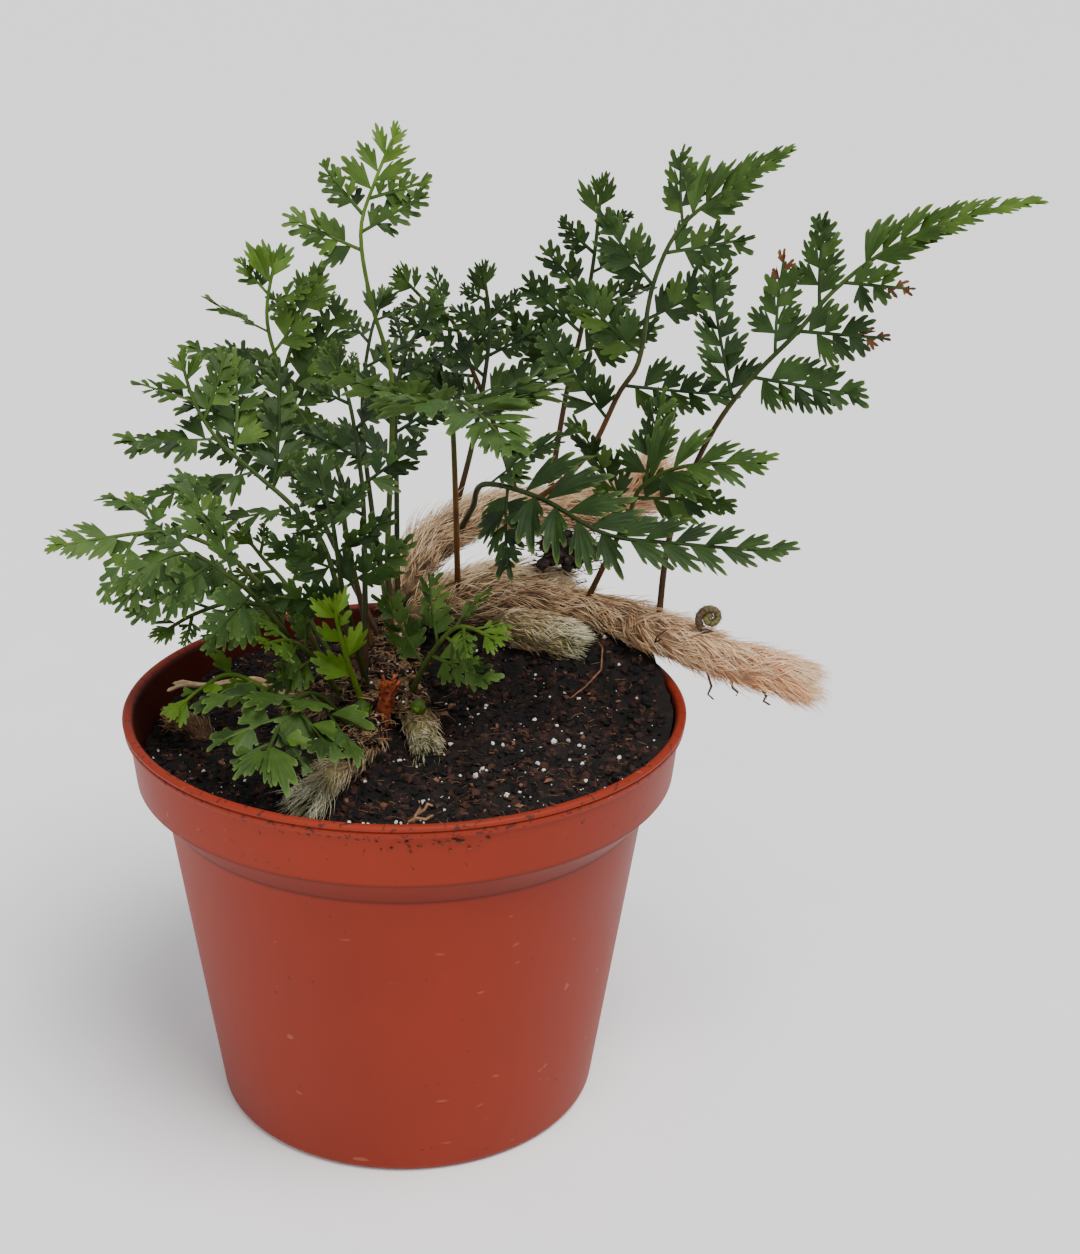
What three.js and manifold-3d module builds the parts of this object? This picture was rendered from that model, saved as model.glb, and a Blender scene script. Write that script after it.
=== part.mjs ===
// A rabbit's foot fern in its nursery pot: peat with a mound at the back right, a furry rhizome
// that creeps over the rim, and finely cut fronds that rise from it.
// Millimetres, +Z up, the origin under the middle of the pot, the viewer's side towards -Y.

import * as THREE from 'three';
import { mergeVertices } from 'three/addons/utils/BufferGeometryUtils.js';
import Module from 'manifold-3d';

const wasm = await Module();
wasm.setup();

// Driving dimensions of the pot
const POT_HEIGHT = 91;
const RIM_RADIUS = 60;
const BASE_RADIUS = 41.9;
const LEDGE_RADIUS = 51.8;
const LEDGE_BOTTOM = 70.5;
const COLLAR_RADIUS = 57.6;
const COLLAR_BOTTOM = 77;
const LIP_HEIGHT = 2.6;
const LIP_OVERHANG = 1.2;
const WALL = 1.5;
const FLOOR = 3;
const FOOT_RECESS = 1.2;
const FOOT_RING_WIDTH = 8.5;
const FOOT_DISC_RADIUS = 14;
const POT_SIDES = 32;
const DRAIN_COUNT = 6;
const DRAIN_RADIUS = 3.5;
const DRAIN_CIRCLE = 24;

// Driving dimensions of the peat
const GAP = 0.3;
const PEAT_LEVEL = 84;
const PEAT_SLOPE = { x: 0.06, y: 0.07 };
const MOUND = { x: 40, y: 30, rise: 7, wideX: 26, wideY: 20 };
const PEAT_RINGS = [46, 30, 14, 0];

// Driving dimensions of stems and leaflets
const STIPE = { wide: 0.75, thick: 0.7 };
const TIP = { wide: 0.35, thick: 0.3 };
const BLADE = 0.3;
const RIB = 0.45;
const PINNA_FOOT = 0.65;
const PINNA_BOW = 0.14;
const PINNA_CROWDING = 1.25;
const SHORTEST_PINNA = 2.5;
const SMALL_PINNA = 6;
const LEAFLET_PITCH = 7.5;
const LEAFLET_REACH = 0.42;
const LEAFLET_LEAN = 0.55;
const CUTS_END = 0.92;

const up = new THREE.Vector3(0, 0, 1);
const towardViewer = new THREE.Vector3(0, -1, 0.35).normalize();
const vector = ([x, y, z]) => new THREE.Vector3(x, y, z);
const mix = (a, b, t) => a + (b - a) * t;

// A smooth curve through points that are chosen by hand
function routeThrough(points) {
  return new THREE.CatmullRomCurve3(points.map(vector), false, 'catmullrom', 0.5);
}

// Forward, side and normal at a place on a route; the normal leans to the hint
function frameAt(forward, hint) {
  const side = forward.clone().cross(hint).normalize();
  const normal = side.clone().cross(forward).normalize();
  return { forward, side, normal };
}

// One closed body from a geometry whose seams and poles still hold doubled vertices
function closed(geometry) {
  geometry.deleteAttribute('normal');
  geometry.deleteAttribute('uv');
  return mergeVertices(geometry, 1e-4);
}

function solidOf(geometry) {
  return new wasm.Manifold(new wasm.Mesh({
    numProp: 3,
    vertProperties: new Float32Array(geometry.attributes.position.array),
    triVerts: new Uint32Array(geometry.index.array),
  }));
}

function geometryOf(solid) {
  const mesh = solid.getMesh();
  const geometry = new THREE.BufferGeometry();
  geometry.setAttribute('position', new THREE.BufferAttribute(mesh.vertProperties, 3));
  geometry.setIndex(new THREE.BufferAttribute(mesh.triVerts, 1));
  return geometry;
}

// The largest of the bodies that a cut leaves
function largest(solid) {
  return solid.decompose().sort((a, b) => b.volume() - a.volume())[0];
}

// A round body turned from its radius profile and then laid along a route, with domed ends;
// extra swells it all round, to leave room about it
function limb({ route, radius, sides = 7, rings = 9, hint = up, extra = 0 }) {
  const path = routeThrough(route);
  const length = path.getLength();
  const profile = [];
  for (let i = 0; i <= rings; i += 1) {
    const t = (1 - Math.cos(Math.PI * i / rings)) / 2;
    const thickness = mix(radius[0], radius[1], t) + extra;
    const fromEnd = Math.min(1, Math.min(t, 1 - t) * length / thickness);
    profile.push(new THREE.Vector2(thickness * Math.sqrt(1 - (1 - fromEnd) ** 2), t));
  }
  const geometry = new THREE.LatheGeometry(profile, sides);
  const places = geometry.attributes.position;
  for (let i = 0; i < places.count; i += 1) {
    const t = places.getY(i);
    const { forward, side, normal } = frameAt(path.getTangentAt(t), hint);
    const place = path.getPointAt(t).addScaledVector(forward, extra * (2 * t - 1));
    place.addScaledVector(side, places.getX(i)).addScaledVector(normal, places.getZ(i));
    places.setXYZ(i, place.x, place.y, place.z);
  }
  return closed(geometry);
}

// The pot: a lathe profile from the middle of the base, up the outside and down the inside
function potGeometry() {
  const innerBase = BASE_RADIUS - WALL;
  const outline = [
    [0, 0], [FOOT_DISC_RADIUS, 0], [FOOT_DISC_RADIUS + 1, FOOT_RECESS],
    [BASE_RADIUS - FOOT_RING_WIDTH, FOOT_RECESS], [BASE_RADIUS - FOOT_RING_WIDTH + 1, 0],
    [BASE_RADIUS - 1.2, 0], [BASE_RADIUS, 1.2],
    [LEDGE_RADIUS, LEDGE_BOTTOM], [COLLAR_RADIUS, COLLAR_BOTTOM],
    [RIM_RADIUS - LIP_OVERHANG, POT_HEIGHT - LIP_HEIGHT],
    [RIM_RADIUS - 0.2, POT_HEIGHT - LIP_HEIGHT + 0.3],
    [RIM_RADIUS, POT_HEIGHT - 0.9], [RIM_RADIUS - 0.7, POT_HEIGHT], [RIM_RADIUS - 1.9, POT_HEIGHT],
    [RIM_RADIUS - 3, POT_HEIGHT - 2.2], [COLLAR_RADIUS - WALL, COLLAR_BOTTOM + 0.8],
    [LEDGE_RADIUS - WALL, LEDGE_BOTTOM + 0.8], [innerBase, FLOOR], [0, FLOOR],
  ].map(([r, z]) => new THREE.Vector2(r, z));
  let pot = solidOf(closed(new THREE.LatheGeometry(outline, POT_SIDES).rotateX(Math.PI / 2)));
  for (let i = 0; i < DRAIN_COUNT; i += 1) {
    const angle = 2 * Math.PI * (i + 0.5) / DRAIN_COUNT;
    const drain = new THREE.CylinderGeometry(DRAIN_RADIUS, DRAIN_RADIUS, 3 * FLOOR, 8);
    drain.rotateX(Math.PI / 2);
    drain.translate(DRAIN_CIRCLE * Math.cos(angle), DRAIN_CIRCLE * Math.sin(angle), FLOOR);
    pot = pot.subtract(solidOf(closed(drain)));
  }
  return geometryOf(pot);
}

// Height of the peat: a gentle slope with a mound under the rhizome at the back right
function peatHeight(x, y) {
  const mound = ((x - MOUND.x) / MOUND.wideX) ** 2 + ((y - MOUND.y) / MOUND.wideY) ** 2;
  return PEAT_LEVEL + PEAT_SLOPE.x * x + PEAT_SLOPE.y * y + MOUND.rise * Math.exp(-mound);
}

// The peat fills the pot to its inner wall, and the rhizome lies in a trough in its top
function peatGeometry(rhizomeSpace) {
  const surface = POT_HEIGHT;
  const outline = [
    [0, FLOOR + GAP], [BASE_RADIUS - WALL - GAP, FLOOR + GAP],
    [LEDGE_RADIUS - WALL - GAP, LEDGE_BOTTOM + 1], [COLLAR_RADIUS - WALL - GAP, COLLAR_BOTTOM + 1],
    [COLLAR_RADIUS - WALL - GAP, surface],
    ...PEAT_RINGS.map((r) => [r, surface]),
  ].map(([r, z]) => new THREE.Vector2(r, z));
  const geometry = new THREE.LatheGeometry(outline, POT_SIDES).rotateX(Math.PI / 2);
  const places = geometry.attributes.position;
  for (let i = 0; i < places.count; i += 1) {
    if (places.getZ(i) > surface - 1) places.setZ(i, peatHeight(places.getX(i), places.getY(i)));
  }
  return geometryOf(largest(solidOf(closed(geometry)).subtract(rhizomeSpace)));
}

// The branches of the rhizome, thick as their fur stands, each from its root to its growing tip
const rhizomeBranches = [
  {
    route: [[4, 44, 96], [22, 41, 98], [35, 35, 99], [49, 26, 99], [60, 14, 99], [71, 6, 97],
      [85, 0, 95]],
    radius: [6, 5.2],
  },
  {
    route: [[-3, 40, 97], [1, 44, 105], [8, 46, 112], [17, 47, 117], [30, 48, 118], [43, 48, 119],
      [52, 46, 122], [57, 44, 127]],
    radius: [5.5, 4.6],
  },
  {
    route: [[0, 38, 94], [8, 40, 99], [18, 42, 102], [34, 44, 101]],
    radius: [5, 5],
  },
  {
    route: [[20, 34, 94], [30, 28, 94], [38, 24, 94]],
    radius: [4, 5.2],
  },
  {
    route: [[-2, 42, 94], [-3, 26, 92], [-1, 12, 89], [2, 0, 87], [4, -13, 85]],
    radius: [6, 4],
  },
  {
    route: [[-2, 24, 90], [-7, 4, 88], [-10, -12, 86], [-15, -23, 85], [-19, -32, 84]],
    radius: [6, 3],
  },
  {
    route: [[-1, 26, 91], [-10, 14, 90], [-17, 6, 90], [-24, 2, 88]],
    radius: [6, 4],
  },
];

// The end of a side shoot that comes up through the peat at the left
const leftShoot = { route: [[-42, 4, 78], [-46, 3, 84], [-50, 0, 87]], radius: [3.4, 3] };

// A rolled-up young frond on the creeping branch: a short stalk that coils in towards its tip
const crozier = {
  middle: [66.3, 9, 105.5], coil: 2.8, heart: 0.9, turn: 430, startAngle: 235, steps: 14,
};

function crozierRoute({ middle: [x, y, z], coil, heart, turn, startAngle, steps }) {
  const points = [[x - 3.2, y, z - 6]];
  for (let i = 0; i <= steps; i += 1) {
    const angle = THREE.MathUtils.degToRad(startAngle - turn * i / steps);
    const radius = mix(coil, heart, i / steps);
    points.push([x + radius * Math.cos(angle), y, z + radius * Math.sin(angle)]);
  }
  return points;
}

const crozierLimb = {
  route: crozierRoute(crozier), radius: [0.8, 0.45], sides: 6, rings: 20, hint: towardViewer,
};

// What is left of cut and withered stalks: a rusty stub at the crown and a dry stalk at the rim
const oldStub = { route: [[-6, -3, 87], [-4.5, -4, 92], [-3.5, -4, 97]], radius: [2.1, 1.7] };
const dryStalk = {
  route: [[-22, 4, 87], [-32, 13, 90], [-43, 11, 90], [-51, 10, 91]],
  radius: [1.1, 0.9],
  sides: 5,
  rings: 6,
};

function rhizomeSolid(branches, extra) {
  const bodies = branches.map((branch) => solidOf(limb({ ...branch, extra })));
  return bodies.reduce((whole, body) => whole.add(body));
}

// A thin leaf as one sheet of triangles, and the closed body that a thickness gives it
class Sheet {
  constructor() {
    this.places = [];
    this.offsets = [];
    this.faces = [];
  }

  add(place, normal, halfThickness) {
    this.places.push(place);
    this.offsets.push(normal.clone().multiplyScalar(halfThickness));
    return this.places.length - 1;
  }

  face(a, b, c) {
    this.faces.push([a, b, c]);
  }

  body() {
    const count = this.places.length;
    const edges = new Set(this.faces.flatMap(([a, b, c]) => [`${a},${b}`, `${b},${c}`, `${c},${a}`]));
    const index = [];
    for (const [a, b, c] of this.faces) {
      index.push(a, b, c, c + count, b + count, a + count);
      for (const [from, to] of [[a, b], [b, c], [c, a]]) {
        if (!edges.has(`${to},${from}`)) index.push(to, from, from + count, to, from + count, to + count);
      }
    }
    const top = this.places.map((place, i) => place.clone().add(this.offsets[i]));
    const bottom = this.places.map((place, i) => place.clone().sub(this.offsets[i]));
    const geometry = new THREE.BufferGeometry().setFromPoints([...top, ...bottom]);
    geometry.setIndex(index);
    return geometry;
  }
}

// One pinna: a rib with leaflets cut down to it on both sides, from an edge of the rachis strip
function addPinna(sheet, { left, right, foot, forward, ahead, normal, length, width, sag, cup }) {
  const placeAt = (t) => foot.clone()
    .addScaledVector(forward, length * t)
    .addScaledVector(ahead, length * PINNA_BOW * t * t)
    .addScaledVector(up, -length * sag * t * t);
  const frameOn = (t) => frameAt(placeAt(t + 0.02).sub(placeAt(t - 0.02)).normalize(), normal);
  const station = (t) => {
    const { side, normal: out } = frameOn(t);
    const half = RIB * (1 - 0.5 * t);
    const thick = mix(BLADE + 0.1, BLADE, t);
    return [sheet.add(placeAt(t).addScaledVector(side, -half), out, thick),
      sheet.add(placeAt(t).addScaledVector(side, half), out, thick)];
  };
  if (length < SMALL_PINNA) {
    const { forward: along, side, normal: out } = frameOn(0.5);
    const corner = (hand) => sheet.add(placeAt(0.55).addScaledVector(side, hand * width)
      .addScaledVector(along, width * 0.3), out, BLADE);
    const [far, near, tip] = [corner(-1), corner(1), sheet.add(placeAt(1), out, BLADE)];
    sheet.face(left, right, near);
    sheet.face(left, near, tip);
    sheet.face(left, tip, far);
    return;
  }
  const leaflets = THREE.MathUtils.clamp(Math.round(length / LEAFLET_PITCH), 1, 4);
  const cutStart = Math.min(0.2, 1.6 / length);
  const cutAt = (k) => cutStart + (CUTS_END - cutStart) * k / leaflets;
  let [l, r] = station(cutAt(0));
  sheet.face(left, right, r);
  sheet.face(left, r, l);
  for (let k = 0; k < leaflets; k += 1) {
    const [nextL, nextR] = station(cutAt(k + 1));
    sheet.face(l, r, nextR);
    sheet.face(l, nextR, nextL);
    const middle = (cutAt(k) + cutAt(k + 1)) / 2;
    const pitch = (cutAt(k + 1) - cutAt(k)) * length;
    const { forward: along, side, normal: out } = frameOn(middle);
    const reach = width * (1 - 0.5 * middle);
    const corner = (hand, onward) => sheet.add(placeAt(middle)
      .addScaledVector(side, hand * reach)
      .addScaledVector(along, reach * LEAFLET_LEAN + onward * pitch * 0.3)
      .addScaledVector(out, -cup * reach), out, BLADE);
    const [nearL, farL] = [corner(-1, -1), corner(-1, 1)];
    const [nearR, farR] = [corner(1, -1), corner(1, 1)];
    sheet.face(nextL, farL, nearL);
    sheet.face(nextL, nearL, l);
    sheet.face(r, nearR, farR);
    sheet.face(r, farR, nextR);
    [l, r] = [nextL, nextR];
  }
  const end = frameOn(1);
  sheet.face(l, r, sheet.add(placeAt(1), end.normal, BLADE));
}

// One frond: a bare stipe, then a rachis with pinnae left and right in turn that shorten to the tip
function frondGeometry({
  route, bare, pairs, reach, face, tipFace = face, lift = 0.2, sag = 0.1, cup = 0.1, open = 60, taper = 0.7,
}) {
  const path = routeThrough(route);
  const length = path.getLength();
  const sheet = new Sheet();
  const bladeAt = (s) => Math.max(0, (s - bare) / (1 - bare));
  const footFace = vector(face).normalize();
  const endFace = vector(tipFace).normalize();
  const hintAt = (s) => footFace.clone().lerp(endFace, bladeAt(s)).normalize();
  const frameOn = (s) => frameAt(path.getTangentAt(s), hintAt(s));
  const station = (s) => {
    const { side, normal } = frameOn(s);
    const half = mix(STIPE.wide, TIP.wide, s);
    const thick = mix(STIPE.thick, TIP.thick, s);
    return [sheet.add(path.getPointAt(s).addScaledVector(side, -half), normal, thick),
      sheet.add(path.getPointAt(s).addScaledVector(side, half), normal, thick)];
  };
  const pinnaCount = 2 * pairs;
  const pinnaAt = (k) => 1 - (1 - bare) * Math.max(0, 1 - k / (pinnaCount + 1)) ** PINNA_CROWDING;
  const stations = [];
  const stipeSteps = 4;
  for (let i = 0; i < stipeSteps; i += 1) stations.push({ s: bare * 0.94 * i / stipeSteps });
  for (let k = 0; k < pinnaCount; k += 1) {
    const half = Math.min(PINNA_FOOT / length, (pinnaAt(k + 1) - pinnaAt(k)) * 0.3);
    stations.push({ s: pinnaAt(k) - half, pinna: k }, { s: pinnaAt(k) + half });
  }
  let [l, r] = station(0);
  for (let i = 1; i < stations.length; i += 1) {
    const [nextL, nextR] = station(stations[i].s);
    sheet.face(l, r, nextR);
    sheet.face(l, nextR, nextL);
    const k = stations[i - 1].pinna;
    if (k !== undefined) {
      const s = pinnaAt(k);
      const along = bladeAt(s);
      const hand = k % 2 ? 1 : -1;
      const { forward, side, normal } = frameOn(s);
      const angle = THREE.MathUtils.degToRad(mix(open, 0.8 * open, along));
      const room = (pinnaAt(k + 2) - s) * length * Math.sin(angle);
      const pinnaLength = Math.max(SHORTEST_PINNA, reach * (1 - along) ** taper);
      addPinna(sheet, {
        left: hand > 0 ? nextR : l,
        right: hand > 0 ? r : nextL,
        foot: path.getPointAt(s).addScaledVector(side, hand * mix(STIPE.wide, TIP.wide, s)),
        forward: forward.clone().multiplyScalar(Math.cos(angle))
          .addScaledVector(side, hand * Math.sin(angle)),
        ahead: forward,
        normal: normal.clone().lerp(up, lift).normalize(),
        length: pinnaLength,
        width: LEAFLET_REACH * Math.min(room, pinnaLength),
        sag,
        cup,
      });
    }
    [l, r] = [nextL, nextR];
  }
  const { side, normal } = frameOn(1);
  const beforeTip = mix(stations.at(-1).s, 1, 0.45);
  const half = (1 - beforeTip) * length * 0.2;
  const far = sheet.add(path.getPointAt(beforeTip).addScaledVector(side, -half), normal, TIP.thick);
  const near = sheet.add(path.getPointAt(beforeTip).addScaledVector(side, half), normal, TIP.thick);
  const tip = sheet.add(path.getPointAt(1), normal, TIP.thick);
  sheet.face(l, r, near);
  sheet.face(l, near, tip);
  sheet.face(l, tip, far);
  return sheet.body();
}

// Every frond by its place in the plant: its route from the foot to the tip, the bare share of it,
// the pairs of pinnae, the length of the longest, the way its upper face looks, how far the
// pinnae turn to the light and how far they sag
const fronds = {
  tall: {
    route: [[-3, 20, 91], [-4, 22, 115], [-3, 26, 139], [-3, 28, 156], [-7, 28, 171], [-9, 27, 186],
      [-6, 30, 196], [-1, 35, 207]],
    bare: 0.77, pairs: 4, reach: 16, face: [0, -0.6, 0.8], lift: 0.3, taper: 0.5,
  },
  left: {
    route: [[-11, 17, 90], [-17, 17, 118], [-24, 19, 128], [-32, 21, 135], [-40, 23, 142],
      [-45, 25, 150], [-48, 28, 160]],
    bare: 0.5, pairs: 4, reach: 31, face: [0.2, -0.9, 0.3], lift: 0.7,
  },
  far_left: {
    route: [[-17, 9, 90], [-21, 7, 104], [-29, 4, 114], [-38, 2, 124], [-49, 0, 129],
      [-62, -4, 129], [-72, -10, 129]],
    bare: 0.5, pairs: 4, reach: 18, face: [0, -0.7, 0.6], lift: 0.2, sag: 0.3,
  },
  far_left_low: {
    route: [[-20, 5, 89], [-24, 1, 103], [-30, -7, 116], [-36, -12, 124], [-45, -16, 130],
      [-58, -22, 124]],
    bare: 0.5, pairs: 3, reach: 13, face: [0, -0.6, 0.8], sag: 0.2,
  },
  upper_left: {
    route: [[-7, 22, 90], [-13, 27, 118], [-15, 32, 133], [-23, 36, 144], [-28, 38, 156],
      [-30, 40, 166], [-28, 46, 178]],
    bare: 0.62, pairs: 4, reach: 25, face: [0, -0.9, 0.4], lift: 0.7,
  },
  upper_left_back: {
    route: [[-5, 28, 92], [-19, 41, 118], [-26, 50, 133], [-29, 54, 142], [-25, 56, 157],
      [-19, 60, 173]],
    bare: 0.5, pairs: 3, reach: 20, face: [0, -0.9, 0.4], lift: 0.3,
  },
  middle_left: {
    route: [[-9, 11, 89], [-9, 18, 126], [-10, 18, 140], [-12, 18, 153], [-16, 20, 164]],
    bare: 0.5, pairs: 3, reach: 17, face: [0, -0.9, 0.4], lift: 0.1,
  },
  middle_back: {
    route: [[-2, 34, 93], [-2, 38, 127], [-2, 40, 144], [0, 42, 156], [8, 44, 169]],
    bare: 0.5, pairs: 3, reach: 16, face: [0, -0.8, 0.5], lift: 0.2,
  },
  back_left: {
    route: [[-4, 38, 95], [-8, 52, 118], [-10, 62, 138], [-8, 70, 154], [-4, 76, 164]],
    bare: 0.5, pairs: 3, reach: 20, face: [0, -0.8, 0.6], lift: 0.3,
  },
  back_arch: {
    route: [[27, 48, 118], [20, 52, 139], [15, 54, 151], [11, 54, 161], [5, 52, 166],
      [-2, 48, 174]],
    bare: 0.5, pairs: 3, reach: 16, face: [0, -0.8, 0.5], lift: 0.2,
  },
  back_centre: {
    route: [[10, 46, 113], [15, 48, 132], [18, 48, 149], [19, 46, 163], [17, 42, 177]],
    bare: 0.42, pairs: 4, reach: 17, face: [0, -0.9, 0.4],
  },
  back_right: {
    route: [[33, 49, 118], [37, 52, 144], [40, 50, 160], [42, 46, 177], [43, 42, 196]],
    bare: 0.4, pairs: 5, reach: 20, face: [0, -1, 0.3], lift: 0,
  },
  main_right: {
    route: [[22, 47, 117], [32, 39, 125], [41, 34, 136], [47, 32, 150], [51, 30, 158],
      [53, 27, 175], [58, 24, 188], [68, 18, 198], [78, 12, 206]],
    bare: 0.34, pairs: 5, reach: 24, face: [0, -1, 0.25], tipFace: [0, -0.6, 0.8], lift: 0, taper: 0.5,
  },
  far_right: {
    route: [[56, 18, 99], [58, 22, 118], [62, 22, 133], [67, 20, 146], [73, 14, 158], [81, 9, 169],
      [88, 6, 179], [98, 3, 188], [111, -1, 195], [126, -5, 199]],
    bare: 0.42, pairs: 6, reach: 27, face: [-0.2, -0.9, 0.5], tipFace: [-0.3, -0.4, 0.9], lift: 0.2, taper: 1, open: 52,
  },
  low_right: {
    route: [[12, 45, 113], [15, 34, 123], [17, 20, 133], [28, 4, 135], [41, -8, 131],
      [55, -14, 131], [76, -20, 131]],
    bare: 0.33, pairs: 5, reach: 22, face: [0, -0.8, 0.6], lift: 0, taper: 0.5,
  },
  right_fan: {
    route: [[40, 31, 99], [46, 24, 117], [49, 19, 127], [51, 15, 134], [59, 10, 140], [75, 3, 143]],
    bare: 0.45, pairs: 4, reach: 24, face: [0, -0.7, 0.7], lift: 0.2,
  },
  front_centre: {
    route: [[12, 39, 100], [11, 26, 128], [10, 10, 148], [9, -8, 158], [12, -30, 164],
      [20, -56, 162]],
    bare: 0.52, pairs: 4, reach: 28, face: [0, -0.3, 1], lift: 0.2, sag: -0.2,
  },
  centre: {
    route: [[-8, 8, 88], [-13, -2, 116], [-14, -6, 126], [-15, -10, 136], [-18, -12, 149]],
    bare: 0.4, pairs: 4, reach: 19, face: [0, -0.95, 0.3], lift: 0,
  },
  inner_left: {
    route: [[-13, 12, 90], [-25, 18, 109], [-31, 20, 116], [-36, 20, 123]],
    bare: 0.45, pairs: 2, reach: 10, face: [0, -0.8, 0.5],
  },
  low_left: {
    route: [[-23, 3, 89], [-27, 6, 107], [-35, 4, 112], [-44, 0, 111], [-52, -6, 108]],
    bare: 0.45, pairs: 3, reach: 11, face: [-0.2, -0.6, 0.8],
  },
  low_inner: {
    route: [[-14, 5, 89], [-19, 0, 100], [-24, -6, 107], [-29, -15, 110]],
    bare: 0.42, pairs: 3, reach: 11, face: [-0.1, -0.7, 0.7],
  },
  left_tuft: {
    route: [[-22, 0.5, 87.5], [-36, 2, 96], [-43, -2, 95], [-49, -6, 91]],
    bare: 0.4, pairs: 2, reach: 8, face: [0, -0.6, 0.8],
  },
  front_left: {
    route: [[-11, -8, 87], [-18, -14, 98], [-23, -25, 101], [-28, -42, 96]],
    bare: 0.4, pairs: 3, reach: 18, face: [-0.1, -0.6, 0.8],
  },
  young: {
    route: [[-9, 1, 88], [-13, -4, 104], [-15, -8, 116]],
    bare: 0.35, pairs: 2, reach: 8, face: [0, -0.9, 0.4],
  },
  small_centre: {
    route: [[0, 5, 88], [5, 0, 101], [11, -6, 110], [19, -14, 110]],
    bare: 0.4, pairs: 3, reach: 14, face: [0.2, -0.6, 0.8],
  },
};

const colours = {
  pot: { color: 0x99423a, roughness: 0.45 },
  peat: { color: 0x2a1f18, roughness: 1 },
  fur: { color: 0xa58a66, roughness: 1 },
  leaf: { color: 0x42602a, roughness: 0.6 },
  crozier: { color: 0x6b5a35, roughness: 0.7 },
  stub: { color: 0x9a4a20, roughness: 0.8 },
  straw: { color: 0xa98a5c, roughness: 0.9 },
};

const plant = new THREE.Group();

function place(name, geometry, colour) {
  const mesh = new THREE.Mesh(geometry, new THREE.MeshStandardMaterial({ metalness: 0, ...colour }));
  mesh.name = name;
  plant.add(mesh);
}

const rhizomeSpace = rhizomeSolid([...rhizomeBranches, leftShoot], GAP);
place('pot', potGeometry(), colours.pot);
place('peat', peatGeometry(rhizomeSpace), colours.peat);
place('rhizome', geometryOf(rhizomeSolid(rhizomeBranches, 0)), colours.fur);
place('left_shoot', geometryOf(rhizomeSolid([leftShoot], 0)), colours.fur);
const stems = [
  ['crozier', crozierLimb, colours.crozier],
  ['old_stub', oldStub, colours.stub],
  ['dry_stalk', dryStalk, colours.straw],
];
for (const [name, spec, colour] of stems) {
  place(name, geometryOf(largest(solidOf(limb(spec)).subtract(rhizomeSpace))), colour);
}
for (const [name, spec] of Object.entries(fronds)) {
  const frond = solidOf(frondGeometry(spec)).subtract(rhizomeSpace);
  place(`frond_${name}`, geometryOf(largest(frond)), colours.leaf);
}

export default plant;
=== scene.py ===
"""A rabbit's foot fern in its nursery pot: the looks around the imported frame.

Shapes are worked out in millimetres and put into the meshes in metres. +Z is up, the viewer stands
towards -Y, and the origin is under the middle of the pot.
"""

import bpy
import numpy as np
from mathutils import Matrix, Quaternion, Vector


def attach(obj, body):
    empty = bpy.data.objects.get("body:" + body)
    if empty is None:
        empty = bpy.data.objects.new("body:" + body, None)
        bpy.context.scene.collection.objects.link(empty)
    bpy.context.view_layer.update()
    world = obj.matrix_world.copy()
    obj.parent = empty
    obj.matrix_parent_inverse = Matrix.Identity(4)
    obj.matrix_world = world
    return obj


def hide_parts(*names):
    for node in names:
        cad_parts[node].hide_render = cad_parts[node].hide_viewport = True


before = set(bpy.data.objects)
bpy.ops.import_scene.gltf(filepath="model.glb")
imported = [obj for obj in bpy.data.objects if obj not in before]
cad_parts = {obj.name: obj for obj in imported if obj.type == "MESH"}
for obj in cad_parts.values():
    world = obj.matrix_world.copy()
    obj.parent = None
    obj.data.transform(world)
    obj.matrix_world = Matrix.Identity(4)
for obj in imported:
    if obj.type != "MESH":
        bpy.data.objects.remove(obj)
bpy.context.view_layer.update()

MM = 0.001
TURN = 2 * np.pi
UP = np.array([0.0, 0.0, 1.0])
TOWARD_VIEWER = np.array([0.0, -1.0, 0.35])
random = np.random.default_rng(7)


# ---------------------------------------------------------------- camera and light

def in_scene(name, data):
    """A new object that holds the data, linked into the scene."""
    thing = bpy.data.objects.new(name, data)
    bpy.context.scene.collection.objects.link(thing)
    return thing


def place_camera():
    """The camera stands 470 mm from the origin, 33.7 degrees up, and is then turned, tipped and
    rolled a little about its own axes, as the photograph's frame asks."""
    distance, height_angle = 470.04, 0.589
    turned, tipped, rolled = -0.069, 0.214, 0.021
    forward = Vector((0, np.cos(height_angle), -np.sin(height_angle)))
    right = Vector((1, 0, 0))
    up = right.cross(forward)
    spin = Quaternion(up, turned)
    forward, right = spin @ forward, spin @ right
    spin = Quaternion(right, tipped)
    forward, up = spin @ forward, spin @ up
    spin = Quaternion(forward, rolled)
    right, up = spin @ right, spin @ up
    camera = in_scene("camera", bpy.data.cameras.new("camera"))
    pose = Matrix((right, up, -forward)).transposed().to_4x4()
    pose.translation = Vector((0, -np.cos(height_angle), np.sin(height_angle))) * distance * MM
    camera.matrix_world = pose
    camera.data.lens = 56.83
    camera.data.clip_start = 0.01
    bpy.context.scene.camera = camera


def place_lamp(name, kind, strength, colour, heading, **form):
    """A lamp turned to the heading, a quaternion, with the size or softness of its form."""
    lamp = bpy.data.lights.new(name, kind)
    for setting, value in dict(energy=strength, color=colour, **form).items():
        setattr(lamp, setting, value)
    holder = in_scene(name, lamp)
    holder.rotation_euler = heading.to_euler()
    return holder


# ---------------------------------------------------------------- arrays and meshes

def unit(vectors):
    """Each vector divided by its length."""
    return vectors / np.maximum(np.linalg.norm(vectors, axis=-1, keepdims=True), 1e-9)


def mix(a, b, t):
    """The value a share t of the way from a to b."""
    return a + (b - a) * t


def turned(a, b, angle):
    """Directions a turned by angles towards directions b that stand square to them."""
    return np.cos(angle)[..., None] * a + np.sin(angle)[..., None] * b


def chance(count, least=0.0, spread=1.0, power=1):
    """Random numbers from least to least plus spread; a power above 1 crowds them at the least."""
    return least + spread * random.random(count) ** power


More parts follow.
